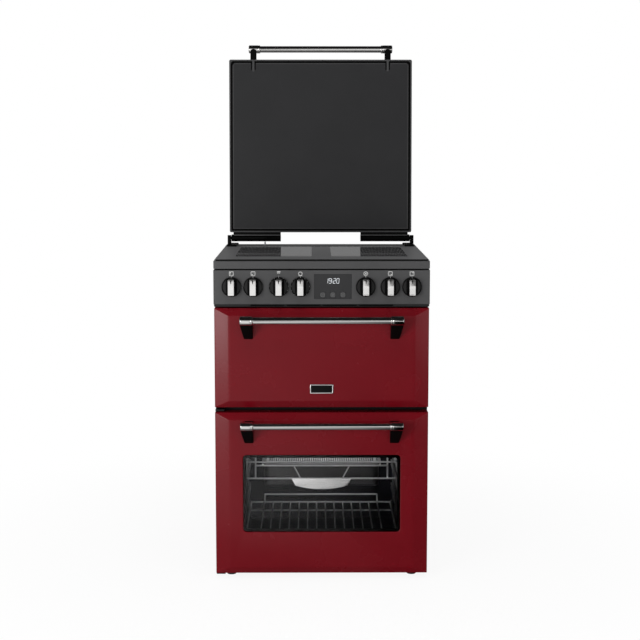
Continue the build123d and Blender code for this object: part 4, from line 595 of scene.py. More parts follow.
def make_finishes(look):
    """All finishes by name. The numbers after a colour are the pattern's scale and depth, then the
    roughness and how far it varies."""
    metal = {"metallic": 1.0, "pattern": "brushed"}
    bar_metal, liner_edge_highlight = look.handle_metal, (0.038, 0.038, 0.039)
    return {
        # Sheet metal outside
        "red": finish("deep red enamel", look.door_red, 650, 0.07, 0.27, specular=0.19),
        "grey": finish("grey lacquer", look.body_grey, 1500, 0.22, 0.42, specular=0.15),
        "lid_grey": finish("lid edge lacquer", look.lid_edge, 1500, 0.2, 0.42, specular=0.15),
        "lid_face": finish("lid liner lacquer", look.lid_liner, 1500, 0.2, 0.4, specular=0.1),
        # The liner's bent edge is paler than its face: a painted highlight along its bevel.
        "liner_highlight": finish("painted highlight on the lid liner edge", liner_edge_highlight, 1500, 0.2, 0.4, specular=0.1),
        "side": finish("side panel enamel", (0.055, 0.055, 0.058), 900, 0.25, 0.45),
        "black": finish("black stove enamel", (0.006,) * 3, 800, 0.15, 0.3, specular=0.15),
        "satin_black": finish("satin black lacquer", (0.002,) * 3, 900, 0.1, 0.35, specular=0.05),
        "lip": finish("vent lip lacquer", (0.022,) * 3, 1500, 0.2, 0.45, specular=0.08),
        # Mouldings, seals and the clock's window
        "gloss_black": finish("gloss black moulding", (0.003,) * 3, 300, 0.03, 0.14, specular=0.12),
        # The dish is paler than the black rim: painted reflection in its hollow face.
        "dish": finish("knob dish with painted reflection", (0.020,) * 3, 1200, 0.05, 0.3, specular=0.1),
        "button": finish("button moulding", (0.060, 0.060, 0.061), 1500, 0.05, 0.35, specular=0.1),
        "window": finish("clock window", (0.031, 0.031, 0.032), 2500, 0.1, 0.22, specular=0.12),
        "moulded": finish("pale moulding", (0.42, 0.41, 0.38), 1200, 0.15, 0.5),
        "dark_moulding": finish("dark moulding", (0.015, 0.015, 0.016), 1200, 0.25, 0.55),
        "rubber": finish("black seal rubber", (0.018,) * 3, 1500, 0.3, 0.65),
        # Near black as painted shade: the strip in the gap round the lid's liner and the recess
        # inside the shell's border stand for shade only.
        "gap": finish("black seal", (0.001,) * 3, 1200, 0.1, 0.5, specular=0.03, spread=0),
        # Bright metal, wires and sheets
        "nickel": finish("brushed nickel", bar_metal, 900, 0.04, 0.13, 0.1, **metal),
        "polished": finish("polished steel", (0.80, 0.79, 0.78), 900, 0.05, 0.14, 0.1, **metal),
        "steel": finish("plain steel", (0.45, 0.45, 0.46), 700, 0.15, 0.34, 0.2, **metal),
        "plate": finish(
            "bright plate", (0.92, 0.92, 0.915), 700, 0.04, 0.26, 0.1, spread=0.04, **metal
        ),
        "wire": finish("chromed wire", (0.42, 0.42, 0.43), 500, 0.05, 0.3, metallic=0.6),
        "trivet": finish("plated trivet", (0.05,) * 3, 500, 0.05, 0.42, metallic=0.2),
        "rail_wire": finish("dull rail wire", (0.10, 0.10, 0.102), 500, 0.1, 0.36, metallic=0.6),
        "tin": finish(
            "dark pressed steel", (0.035, 0.035, 0.036), 160, 0.06, 0.36, metallic=0.3, spread=0.15
        ),
        "zinc": finish(
            "galvanised sheet", (0.42, 0.43, 0.45), 60, 0.05, 0.38, 0.35, metallic=0.9, spread=0.2
        ),
        # Inside the ovens and under the hob
        "element": finish("oxidised element", (0.07, 0.06, 0.055), 900, 0.3, 0.5, metallic=0.5),
        "enamel": speckled(
            "speckled oven enamel", (0.004, 0.004, 0.005), (0.04, 0.04, 0.045), 200, 0.12, 0.34,
            specular=0.1,
        ),
        "copper": finish(
            "enamelled copper", (0.55, 0.27, 0.13), 900, 0.1, 0.35, 0.1, metallic=0.7, spread=0.2
        ),
        "board": finish("solder mask", (0.012, 0.11, 0.035), 400, 0.2, 0.3, spread=0.25),
        "wool": finish(
            "foil on mineral wool", (0.60, 0.59, 0.55), 90, 0.9, 0.5, 0.3, metallic=0.3, spread=0.2
        ),
        # Glass, prints and lights
        "hob_glass": finish(
            "grey printed glass", (0.118, 0.118, 0.120), 900, 0.06, 0.36, specular=0.08
        ),
        "pane": clear_glass("door pane", (0.97, 0.97, 0.97)),
        "lamp_glass": clear_glass("oven lamp glass", (0.95, 0.95, 0.93), 0.05),
        "mask_print": finish("black window print", (0.003,) * 3, 300, 0.0, 0.12, specular=0.1),
        "white_print": finish("white print", (0.60, 0.60, 0.59), 800, 0.05, 0.45),
        "grey_print": finish("dim print", (0.125,) * 3, 800, 0.05, 0.45),
        "digits": glowing("lit digits", (0.62, 0.65, 0.68), 0.35),
        "filament": glowing("oven lamp", (1.0, 0.86, 0.66), 2.0),
    }


# Every CAD node's finish and the record's slot it belongs to
NODE_FINISH = {
    "side_panels": ("side", "body_grey"),
    "back_panel": ("zinc", "body_inner"),
    "base_tray": ("zinc", "body_inner"),
    "levelling_feet": ("dark_moulding", "foot"),
    "front_frame": ("black", "frame_black"),
    "door_seals": ("rubber", "seal"),
    "main_liner": ("enamel", "enamel"),
    "top_liner": ("enamel", "enamel"),
    "insulation": ("wool", "wool"),
    "shelf_rails": ("rail_wire", "wire"),
    "oven_shelves": ("wire", "wire"),
    "heating_elements": ("element", "element"),
    "fan_cover": ("enamel", "enamel"),
    "convection_fan": ("steel", "fan"),
    "fan_motor": ("steel", "motor"),
    "electronics_shelf": ("zinc", "body_inner"),
    "circuit_boards": ("board", "board"),
    "blower_housing": ("zinc", "body_inner"),
    "blower_wheel": ("steel", "fan"),
    "terminal_cover": ("dark_moulding", "foot"),
    "hob_frame": ("grey", "hob_frame"),
    "hob_glass": ("hob_glass", "hob_glass"),
    "rear_vent_trim": ("grey", "vent_trim"),
    "coil_tray": ("zinc", "body_inner"),
    "induction_coils": ("copper", "copper"),
    "fascia": ("grey", "fascia_grey"),
    "knob_discs": ("gloss_black", "knob_disc"),
    "rotary_switches": ("moulded", "switch"),
    "display_window": ("window", "display"),
    "door_hinge_plates": ("black", "frame_black"),
    "top_door_panel": ("red", "door_red"),
    "top_door_inner": ("black", "door_inner"),
    "top_door_bar": ("nickel", "handle"),
    "top_door_brackets": ("satin_black", "bracket"),
    "top_door_badge": ("polished", "badge"),
    "main_door_panel": ("red", "door_red"),
    "main_door_glass": ("pane", "door_glass"),
    "main_door_inner": ("black", "door_inner"),
    "main_door_bar": ("nickel", "handle"),
    "main_door_brackets": ("satin_black", "bracket"),
    "door_rack": ("wire", "wire"),
    "roasting_tin": ("tin", "enamel"),
    "tin_trivet": ("trivet", "wire"),
    "lid_shell": ("lid_grey", "lid_grey"),
    "lid_liner": ("lid_face", "lid_liner"),
    "lid_posts": ("satin_black", "lid_grey"),
    "lid_bar": ("nickel", "handle"),
    "lid_hinge_bars": ("satin_black", "hinge_black"),
    "lid_hinge_posts": ("satin_black", "hinge_metal"),
    "lid_switch_pin": ("steel", "pin"),
    **{name: ("polished", "knob") for name in KNOB_NAMES},
    **{name: ("button", "button") for name in BUTTON_NAMES},
}

# How far the edges of carried-over nodes are rolled, in millimetres
ROLLED = {
    "side_panels": 0.5,
    "front_frame": 0.4,
    "rear_vent_trim": 0.6,
    "display_window": 0.3,
    "lid_posts": 1.2,
    "lid_hinge_posts": 0.7,
    "lid_hinge_bars": 0.5,
    "door_hinge_plates": 0.5,
    "levelling_feet": 0.8,
    "terminal_cover": 1.0,
    "top_door_inner": 0.4,
    "main_door_inner": 0.4,
    "main_door_glass": 0.4,
    **{name: 0.3 for name in BUTTON_NAMES},
    "fascia": 0.5,
    "hob_frame": 1.2,
    "lid_shell": 1.1,
    "hob_glass": 0.4,
    "door_rack": 0.2,
}

FINISHES = {}


def on_lid(y, z):
    """Reach from the hinge and distance forward, in the plane of the leaning lid."""
    reach = (z - HINGE.z) * math.cos(LID_LEAN) + (y - HINGE.y) * math.sin(LID_LEAN)
    out = (z - HINGE.z) * math.sin(LID_LEAN) - (y - HINGE.y) * math.cos(LID_LEAN)
    return reach, out


def on_rack_plate(x, y, z):
    """Faces of the polished plate that hangs from the rack's lower wire."""
    plate_back, plate_half, plate_top = 72.7, 88, 30.5
    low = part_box("door_rack")[0].z
    return (y < at(plate_back)) & (np.abs(x) < plate_half * MM) & (z < low + plate_top * MM)


def on_liner_edge(x, y, z):
    """Faces of the bent edge all round the lid's liner, which get a paler grey than the liner's
    face as a painted highlight.
    """
    reach, _ = on_lid(y, z)
    inset = LINER_BORDER + 3.3
    beyond = (reach < (LID_START + inset) * MM) | (reach > (LID_END - inset) * MM)
    return beyond | (np.abs(x) > (LID_HALF - inset) * MM)


def in_lid_recess(x, y, z):
    """Faces of the lid's shell that lie inside its border, behind the face of the lid; they are
    made near black as painted shade.
    """
    reach, out = on_lid(y, z)
    border = 8.0
    inside = (reach > (LID_START + border) * MM) & (reach < (LID_END - border) * MM)
    inside &= np.abs(x) < (LID_HALF - border + 0.1) * MM
    return inside & (out > 7.0 * MM) & (out < 14.6 * MM)


def on_vent_lip(x, y, z):
    """Faces of the vent lip along the fascia's foot."""
    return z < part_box("fascia")[0].z + 7.2 * MM


def on_glass_edge(x, y, z):
    """Front edge of the hob's glass, made black as painted shade of the dark line at the hob's
    front lip.
    """
    return y < at(3.5)


def outside_of(half):
    """Test for the faces beyond a distance in millimetres to the left or right."""
    return lambda x, y, z: np.abs(x) > half * MM


# Further finishes of rolled nodes, each with the faces that get it
SECOND_FINISH = {
    "fascia": (("black", outside_of(298.6)), ("lip", on_vent_lip)),
    "hob_frame": (("black", outside_of(299.5)),),
    # The lid shell's recess inside its border is made near black: painted shade.
    "lid_shell": (("gap", in_lid_recess),),
    # The glass's front edge gets the black print: painted shade at the front lip.
    "hob_glass": (("mask_print", on_glass_edge),),
    "door_rack": (("plate", on_rack_plate),),
}


# Values that a user can change


def colour_property(label, words, default):
    """Colour that a user can change."""
    return FloatVectorProperty(
        name=label, description=words, subtype="COLOR", size=3, min=0.0, max=1.0, default=default
    )


def length_property(label, words, default):
    """Length that a user can change."""
    return FloatProperty(
        name=label, description=words, subtype="DISTANCE", min=0.0, default=default
    )


class CookerColours(bpy.types.PropertyGroup):
    """Colours of the finishes that show."""

    door_red: colour_property("Door red", "Enamel of both doors", (0.130, 0.002, 0.006))
    body_grey: colour_property("Body grey", "Fascia and hob frame", (0.064, 0.064, 0.065))
    lid_edge: colour_property("Lid edge", "Outer shell of the lid", (0.046, 0.046, 0.047))
    lid_liner: colour_property("Lid liner", "Inset panel of the lid", (0.0225, 0.0225, 0.0235))
    handle_metal: colour_property("Handle metal", "Bars of doors and lid", (0.66, 0.65, 0.64))


class CookerSizes(bpy.types.PropertyGroup):
    """Sizes of the pieces that are made here and not in the frame."""

    ridge: length_property("Ridge", "Softness of the doors' raised edges", 3.0 * MM)
    screw_head: length_property("Screw head", "Diameter of the sheet screws", 8.0 * MM)
    digit_height: length_property("Digit height", "Height of the clock's digits", 13.4 * MM)
    symbol: length_property("Symbol", "Width of the printed symbols", 11.0 * MM)
    lamp: length_property("Oven lamp", "Diameter of the oven lamp's glass", 46.0 * MM)
    tick_count: IntProperty(name="Ticks", description="Marks round a knob disc", default=11, min=2)


# The cooker's pieces


def notched(ring):
    """Add points to the lower edge of a ring, at the two places where the hinge arms pass; a ring
    on the back edge runs forward to the notch's end there."""
    lowest = np.flatnonzero(np.abs(ring[:, 2] - ring[:, 2].min()) < 1e-6)
    start = int(lowest[0]) if lowest[0] + 1 in lowest else int(lowest[-1])
    first, last = ring[start], ring[(start + 1) % len(ring)]
    marks = np.array([NOTCH_IN - 0.05, NOTCH_IN, NOTCH_OUT, NOTCH_OUT + 0.05])
    marks = np.concatenate([-marks[::-1], marks]) * MM
    # Shorter rings get the same marks, pulled in, so that all rings have as many points
    marks *= min(1.0, (abs(first[0]) - 0.3 * MM) / marks[-1]) * np.sign(last[0] - first[0])
    extra = np.tile(first, (len(marks), 1))
    extra[:, 0] = marks
    if abs(first[1] - at(DOOR_BACK)) < 1e-6:
        extra[[1, 2, 5, 6], 1] = at(NOTCH_FRONT)
    return np.concatenate([ring[:start + 1], extra, ring[start + 1:]])


def front_size(low, high):
    """Middle, half width and half height of a box, seen from the front."""
    return ((low.x + high.x) / 2, (low.z + high.z) / 2), (high.x - low.x) / 2, (high.z - low.z) / 2


def door_skin(low, high, window=None):
    """Pressed door: rings of a rounded rectangle run from the back edge over the bevelled border to
    the raised middle, and back again one sheet deeper. A window (middle, half width, half height,
    corner) leaves the middle open, and a door without one has notches for its hinge arms."""
    centre, half_wide, half_tall = front_size(low, high)
    ridge = bpy.context.scene.cooker_sizes.ridge
    side, edge = 40 * MM, 20 * MM
    face, back = -DOOR_RAISE, DOOR_SHEET - DOOR_RAISE

    def ring(across, up, depth, radius):
        """Rounded rectangle, set in from the door's sides and from its ends."""
        return front_outline(
            centre, half_wide - across, half_tall - up, radius * MM, depth, steps=5
        )

    def opening(grown, depth):
        """Edge of the window, some millimetres larger all round."""
        middle_of, wide, tall, corner = window
        more = grown * MM
        return front_outline(middle_of, wide + more, tall + more, corner + more, depth, steps=5)

    # Round the door's edge: (inset, share of the bevel, depth, corner radius)
    outside = [
        ring(inset * MM + side * share, inset * MM + edge * share, depth, radius)
        for inset, share, depth, radius in (
            (0.0, 0.0, DOOR_BACK, 1.2), (0.0, 0.0, 1.8, 1.2), (0.25, 0.0, 0.9, 1.2),
            (0.9, 0.02, 0.15, 1.2), (1.8, 0.06, -0.55, 1.5),
        )
    ]
    # Up the bevel and over its ridge, which bends from a straight slope to level
    soft = ridge / side
    for share in (0.35, 0.65, 1 - soft, 1 - soft / 2, 1, 1 + soft / 2):
        bend = max(0.0, share - (1 - soft))
        level = DOOR_RAISE * bend * bend / (3 * soft) * (share <= 1)
        depth = level - DOOR_RAISE * min(share, 1.0)
        outside.append(ring(side * share, edge * share + (share > 1) * ridge, depth, 2))
    outside.append(ring(side + 8 * MM, edge + 10 * MM, face, 2))
    inside = [
        ring(side + 8 * MM, edge + 10 * MM, back, 2),
        ring(side * 0.98, edge * 0.98, back + 0.4, 2),
        ring(DOOR_SHEET * MM, DOOR_SHEET * MM, DOOR_SHEET + 0.4, 1),
        ring(DOOR_SHEET * MM, DOOR_SHEET * MM, DOOR_BACK, 1),
    ]
    if window:
        rim = ((2.2, face), (0.9, face + 0.12), (0.2, face + 0.6), (0.0, back), (0.0, back + 0.01))
        return stacked([*outside, *[opening(*row) for row in rim], *inside], wrap=True)
    outside.append(ring(side + 60 * MM, edge + 40 * MM, face, 2))
    return shell([notched(one) for one in outside], [notched(one) for one in inside])


def badge_shapes(low, high):
    """Blank badge: a ring with a rounded square section, and a field set back inside it."""
    centre, wide, tall = front_size(low, high)
    back, front = (high.y - FRONT_Y) / MM, (low.y - FRONT_Y) / MM

    def outline(inset, corner, depth):
        """Rounded rectangle, set in from the badge's edge by some millimetres."""
        gap = (0.7 + inset) * MM
        return front_outline(centre, wide - gap, tall - gap, corner * MM, depth, steps=5)

    section = (
        (0.0, back), (0.0, front + 0.6), (0.2, front + 0.2), (0.6, front),
        (2.3, front), (2.7, front + 0.2), (2.9, front + 0.6), (2.9, back),
    )
    ring = [outline(inset, 2.2 - inset / 2, depth) for inset, depth in section]
    field = [outline(2.85, 0.6, depth) for depth in (back, front + 0.9)]
    return stacked(ring, wrap=True), stacked(field)


class COOKER_OT_doors(bpy.types.Operator):
    """Press both door skins, with soft ridges, and frame the main door's window"""

    bl_idname = "cooker.doors"
    bl_label = "Doors"

    def execute(self, context):
        low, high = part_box("main_door_panel")
        window = (0.0, low.z + 232.5 * MM), 221 * MM, 110.5 * MM, 10 * MM
        red = FINISHES["red"]
        skin = door_skin(*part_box("top_door_panel"))
        piece("top_door_skin", skin, red, "top_door", ["top_door_panel"])
        skin = door_skin(low, high, window)
        piece("main_door_skin", skin, red, "main_door", ["main_door_panel"])
        centre, wide, tall, corner = window
        border = []
        for inset, depth in ((-5, -4.78), (9, -4.78), (9, -4.7), (-5, -4.7)):
            gap, radius = inset * MM, corner - min(inset, 6) * MM
            border.append(front_outline(centre, wide - gap, tall - gap, radius, depth))
        border = stacked(border, wrap=True)
        piece("window_print", border, FINISHES["mask_print"], "main_door")
        ring, field = badge_shapes(*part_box("top_door_badge"))
        node = ["top_door_badge"]
        piece("badge_ring", ring, FINISHES["polished"], "top_door", node)
        piece("badge_field", field, FINISHES["gloss_black"], "top_door", node)
        return {"FINISHED"}


def bar_profile(length):
    """Handle bar as (reach, radius): from the thin middle a stepped collar, a ferrule and a dome,
    and the same mirrored on the left."""
    end = length / 2
    start = end - FERRULE
    corners = [(-start, 10 * MM), (start, 10 * MM)]
    for reach, radius in ((1.6, 12.5), (5.0, 12.5), (5.4, 11.9), (6.4, 11.9), (6.8, 12.5)):
        corners.append((start + reach * MM, radius * MM))
    corners += [(end - 2.2 * MM, 12.5 * MM), (end, 10.0 * MM), (end, 0.2 * MM)]
    right = rounded_profile(corners, 0.8 * MM)
    left = right[:0:-1] * np.array([-1, 1])
    return np.concatenate([left, right[1:]])


def handle_wedge(side, bar_z, ferrule_inner):
    """Bracket: rounded rectangles blend from the door's face, shallow under the bar, to a cradle
    round the ferrule. The outer side slants, the lower side runs up in a straight slope, and the
    near end closes over a small round, so that no sharp rim shows."""
    corner, rows = 3.4 * MM, []
    for share in np.linspace(0, 1, 15):
        wide = (26 + 9 * share) * MM
        low = bar_z + (44 * share ** 1.05 - 57) * MM
        high = bar_z + (6 - 5.5 * share) * MM
        half, centre = (high - low) / 2, (side * (ferrule_inner + wide / 2), (low + high) / 2)
        rows.append(front_outline(centre, wide / 2, half, corner, -10 - 45 * share))
    for inset, depth in ((0.8 * MM, -55.5), (2.0 * MM, -56.1)):
        radius = max(corner - inset, 0.5 * MM)
        rows.append(front_outline(centre, wide / 2 - inset, half - inset, radius, depth))
    return stacked(rows)


class COOKER_OT_handles(bpy.types.Operator):
    """Turn the three bars and shape the doors' brackets"""

    bl_idname = "cooker.handles"
    bl_label = "Handles"

    def execute(self, context):
        for body in ("top_door", "main_door", "lid"):
            node = f"{body}_bar"
            low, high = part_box(node)
            shape = turned(bar_profile(high.x - low.x), middle(node), (1, 0, 0), 64)
            piece(f"{node}_turned", shape, FINISHES["nickel"], body, [node])
        for body in ("top_door", "main_door"):
            bar, node = f"{body}_bar", f"{body}_brackets"
            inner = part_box(bar)[1].x - FERRULE + 1 * MM
            shape = joined(*[handle_wedge(side, middle(bar).z, inner) for side in (-1, 1)])
            piece(f"{node}_shaped", shape, FINISHES["satin_black"], body, [node])
        return {"FINISHED"}


def leaned(points, z):
    """Lean the face back above its middle: the depth grows with the square of the height."""
    above = np.maximum(points[:, 2] - z, 0)
    near = points[:, 1] < at(-20)
    points[:, 1] += near * GRIP_LEAN * above ** 2
    return points


def grip_rows(centre, steps):
    """Outlines of a grip from rows of (depth, width, height, corner), all in millimetres."""
    return [
        front_outline(centre, wide / 2 * MM, tall / 2 * MM, corner * MM, depth)
        for depth, wide, tall, corner in steps
    ]


def grip_body(centre):
    """Black body of a grip: rounded rectangles that narrow from the disc to the cap."""
    x, z = centre
    points, faces = stacked(grip_rows(centre, (
        (-4.9, 31.0, 43.0, 7.0), (-8.0, 29.0, 44.0, 6.0), (-16.0, 24.0, 44.8, 4.5),
        (-26.0, 20.2, 45.0, 3.2), (-28.2, 19.6, 44.6, 2.8), (-28.6, 18.8, 44.0, 2.6),
    )))
    spindle = turned(((0, 3 * MM), (30 * MM, 3 * MM)), (x, at(-7.0), z), (0, 1, 0), 24)
    return joined((leaned(points, z), faces), spindle)


def grip_cap(centre):
    """Bright cap on a grip: a rounded plate whose face is a grid, so that it can lean back."""
    x, z = centre
    plate = stacked(grip_rows(centre, (
        (-28.2, 16.8, 43.6, 2.0), (-29.1, 16.8, 43.6, 2.0), (-29.45, 16.2, 43.0, 1.8)
    )))
    across, up = np.meshgrid(np.linspace(-8.0, 8.0, 5), np.linspace(-21.2, 21.2, 25))
    at_edge = (np.abs(across) > 7.9) | (np.abs(up) > 21.1)
    depth = np.where(at_edge, -29.4, -29.5)
    face = np.stack([x + across * MM, at(depth), z + up * MM], -1).reshape(-1, 3)
    points, faces = joined(plate, (face, grid_faces(*across.shape)))
    return leaned(points, z), faces


# Profiles of a knob's disc in millimetres, as (reach, radius) round its axis
DISC_RIM = ((0, 24.2), (0, 27.5), (6.0, 27.5), (6.0, 25.0), (4.6, 24.2))
DISC_DISH = ((0, 24.6), (4.4, 24.6), (4.8, 24.0), (4.8, 0.01))


def pointer(centre):
    """Dark pointer set in the grip's top end: a wedge that narrows downwards."""
    x, z = centre
    corners = ((-2.3, 21.2), (2.3, 21.2), (0.7, 10.5), (-0.7, 10.5))
    points, faces = stacked([
        [(x + across * MM, at(depth), z + up * MM) for across, up in corners]
        for depth in (-29.0, -29.75)
    ])
    return leaned(points, z), faces


def symbol(kind, centre, size, depth):
    """Small generic sign made of strokes and rings: a square with a dot for each zone, a grill with
    three bars, a fan, or a lamp over a line."""
    x, z = centre
    half, width, thick = size / 2, size * 0.125, 0.12
    left, right, low, high = x - half, x + half, z - half, z + half

    def stroke(start, end, wide=width):
        """Stroke of the sign between two points."""
        return flat_bar(start, end, wide, depth, thick)

    corners = ((left, low), (right, low), (right, high), (left, high))
    if kind.startswith("zone"):
        marks = [stroke(start, end) for start, end in zip(corners, corners[1:] + corners[:1])]
        chosen = (-1 if "left" in kind else 1, 1 if "back" in kind else -1)
        for column in (-1, 1):
            for row in (-1, 1):
                reach = size * (0.15 if (column, row) == chosen else 0.07)
                spot = (x + column * half * 0.45, z + row * half * 0.45)
                marks.append(ring_stroke(spot, reach / 2, reach * 0.96, depth, thick, steps=12))
        return joined(*marks)
    if kind == "grill":
        marks = [stroke((left, high), (right, high), width * 1.6)]
        for column in (x - half / 2, x, x + half / 2):
            marks.append(stroke((column, high - 0.3 * half), (column, z)))
        return joined(*marks)
    if kind == "fan":
        turns = np.radians([45, 135, 225, 315])
        tips = zip(x + half * 0.75 * np.cos(turns), z + half * 0.75 * np.sin(turns))
        blades = [stroke((x, z), tip) for tip in tips]
        return joined(*blades, ring_stroke((x, z), half, width, depth, thick))
    lamp = ring_stroke((x, z), half * 0.9, width, depth, thick)
    return joined(lamp, stroke(*corners[:2]))


def scale_ticks(centre, count):
    """Marks round a disc: short strokes along its radii, at even angles, with a gap on top."""
    ticks = []
    for angle in np.linspace(-140, 140, count):
        if abs(angle) > 20:
            turn = math.radians(90 - angle)
            way = np.array([math.cos(turn), math.sin(turn)])
            start, end = (centre + way * reach * MM for reach in (25.4, 26.8))
            ticks.append(flat_bar(start, end, 0.7 * MM, DISC_PRINT, 0.08))
    return ticks


class COOKER_OT_controls(bpy.types.Operator):
    """Shape the grips and pointers, print the symbols and the marks round the discs"""

    bl_idname = "cooker.controls"
    bl_label = "Controls"

    def execute(self, context):
        sizes = context.scene.cooker_sizes
        signs = ("zone left back", "zone left front", "grill", "lamp", "fan", "zone right front",
                 "zone right back")
        rim = rounded_profile(np.array(DISC_RIM) * MM, 0.9 * MM)
        dish = np.array(DISC_DISH) * MM
        prints, ticks, rims, dishes = [], [], [], []
        for name, kind in zip(KNOB_NAMES, signs):
            x, _, z = middle(name)
            centre, hub = (x, z), (x, at(0), z)
            piece(f"{name}_cap", grip_cap(centre), FINISHES["polished"], name, [name])
            piece(f"{name}_body", grip_body(centre), FINISHES["satin_black"], name, [name])
            piece(f"{name}_pointer", pointer(centre), FINISHES["gloss_black"], name)
            rims.append(turned(rim, hub, FORWARD, 56, wrap=True))
            dishes.append(turned(dish, hub, FORWARD))
            prints.append(symbol(kind, (x, z + 36.5 * MM), sizes.symbol, FASCIA_PRINT))
            for strokes, high, low, depth, thick in (
                (prints, 30.6, 27.8, FASCIA_PRINT, 0.1), (ticks, 26.9, 24.9, DISC_PRINT, 0.08)
            ):
                top, foot = (x, z + high * MM), (x, z + low * MM)
                strokes.append(flat_bar(top, foot, 1.0 * MM, depth, thick))
            if name in SCALED_KNOBS:
                ticks += scale_ticks(centre, sizes.tick_count)
        black, node = FINISHES["gloss_black"], ["knob_discs"]
        piece("disc_rims", joined(*rims), black, "cooker", node)
        piece("disc_dishes", joined(*dishes), FINISHES["dish"], "cooker", node)
        piece("fascia_symbols", joined(*prints), FINISHES["white_print"], "cooker")
        piece("disc_marks", joined(*ticks), FINISHES["white_print"], "cooker")
        return {"FINISHED"}


# Strokes of each figure that the clock shows
SEGMENTS = {
    "0": "abcdef",
    "1": "bc",
    "2": "abged",
    "9": "abcdfg",
}


def digit(character, corner, height, depth):
    """Seven-segment digit, leaning a little: seven mitred strokes between its six corners."""
    x, z = corner

    def point(across, up):
        """Corner of the digit's ladder, moved right with its height."""
        return x + height * (across * 0.48 + up * 0.08), z + up * height

    ends = {
        "a": (point(0, 1), point(1, 1)),
        "b": (point(1, 1), point(1, 0.5)),
        "c": (point(1, 0.5), point(1, 0)),
        "d": (point(0, 0), point(1, 0)),
        "e": (point(0, 0.5), point(0, 0)),
        "f": (point(0, 1), point(0, 0.5)),
        "g": (point(0, 0.5), point(1, 0.5)),
    }
    strokes = [flat_bar(*ends[name], height * 0.085, depth, 0.05) for name in SEGMENTS[character]]
    return joined(*strokes)


class COOKER_OT_clock(bpy.types.Operator):
    """Light the clock's digits and print the signs on its buttons"""

    bl_idname = "cooker.clock"
    bl_label = "Clock"

    def execute(self, context):
        height = context.scene.cooker_sizes.digit_height
        window = middle("display_window")
        step, colon = height * 0.70, height * 0.196
        start = window.x - step * 1.93 - 2.6 * MM
        base = window.z + 9.2 * MM
        strokes = []
        for count, character in enumerate("1920"):
            place = start + count * step + (colon if count > 1 else 0)
            strokes.append(digit(character, (place, base), height, CLOCK_PRINT))
        for up in (0.3, 0.7):
            dot = (start + 1.95 * step, base + up * height)
            strokes.append(ring_stroke(dot, 0.5 * MM, 0.9 * MM, CLOCK_PRINT, 0.05, steps=10))
        piece("clock_digits", joined(*strokes), FINISHES["digits"], "cooker")
        face = (BUTTON_PRINT, 0.06)
        for name, kind in zip(BUTTON_NAMES, ("minus", "ring", "plus")):
            x, _, z = middle(name)
            half, line = 2.6 * MM, 0.9 * MM
            marks = [ring_stroke((x, z), 5.6 * MM, 0.8 * MM, *face, steps=28)]
            if kind == "ring":
                marks.append(ring_stroke((x, z), 2.0 * MM, 0.8 * MM, *face))
            else:
                marks.append(flat_bar((x - half, z), (x + half, z), line, *face))
            if kind == "plus":
                marks.append(flat_bar((x, z - half), (x, z + half), line, *face))
            piece(f"{name}_sign", joined(*marks), FINISHES["grey_print"], name)
        return {"FINISHED"}


def hinge_toe(side, base):
    """Flat toe of a hinge foot on the rear trim: rounded rectangles rise to a rolled upper edge."""
    centre, rows = (side * 276.5 * MM, at(501.0)), []
    for inset, height in ((0.0, 0.05), (0.0, 3.6), (0.5, 4.4), (1.6, 4.9)):
        size = [(length - inset) * MM for length in (14.5, 31.0, 6.0)]
        rows.append(level_outline(centre, *size, base + height * MM))
    return stacked(rows)


class COOKER_OT_hob(bpy.types.Operator):
    """Print the two cooking zones on the glass and lay the toes of the hinge feet"""

    bl_idname = "cooker.hob"
    bl_label = "Hob"

    def execute(self, context):
        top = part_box("hob_glass")[1].z
        half_wide, half_long, corner = 108.5 * MM, 178.5 * MM, 5 * MM
        zone_x, zone_y = 136.5 * MM, at(276.5)
        # The rays of both prints run from points well in front of the hob
        ray_count, ray_lead = 620.0, 0.9
        for side, label in ((-1, "left"), (1, "right")):
            x, y = side * zone_x, zone_y
            rows = [
                level_outline((x, y), half_wide, half_long, corner, top + height * MM)
                for height in (-0.02, 0.10)
            ]
            material = rayed_print(
                f"zone print {label}", (0.060, 0.060, 0.061), (0.135, 0.135, 0.137),
                (x, y - ray_lead), ray_count,
            )
            piece(f"zone_print_{label}", stacked(rows), material, "cooker")
        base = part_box("rear_vent_trim")[1].z
        toes = joined(*[hinge_toe(side, base) for side in (-1, 1)])
        piece("hinge_toes", toes, FINISHES["satin_black"], "cooker")
        return {"FINISHED"}


def on_lid_plane(x, reach, out):
    """Points of the leaning lid from widths, reaches from the hinge and a distance forward."""
    y = HINGE.y + reach * math.sin(LID_LEAN) - out * math.cos(LID_LEAN)
    z = HINGE.z + reach * math.cos(LID_LEAN) + out * math.sin(LID_LEAN)
    return np.stack([x, y, z], -1)


def lid_outline(border, inset, low_corner, high_corner, out, notch=0.0):
    """Rounded rectangle in the lid's plane, a border and an inset in from the shell's edge, with
    its own corner radius at the lower and at the upper end, and a notch round each of the two
    tabs at the upper end; all in millimetres."""
    turn = np.linspace(0, math.pi / 2, 6)
    edge, gap, foot = border + inset, notch + inset, TAB_FOOT - inset
    half, low, high = LID_HALF - edge, LID_START + edge, LID_END - edge
    rows = []
    for quarter, (side, end, way, corner) in enumerate((
        (1, high, 1, high_corner), (-1, high, 1, high_corner),
        (-1, low, -1, low_corner), (1, low, -1, low_corner),
    )):
        angle = turn + quarter * math.pi / 2
        x = side * (half - corner) + corner * np.cos(angle)
        reach = end - way * corner + corner * np.sin(angle)
        rows.append(np.stack([x, reach], -1))
        for tab in (TAB_X, -TAB_X) if quarter == 0 and notch else ():
            near, far = tab + gap, tab - gap
            rows.append([(near, high), (near, foot), (far, foot), (far, high)])
    x, reach = np.concatenate(rows).T * MM
    return on_lid_plane(x, reach, out * MM)


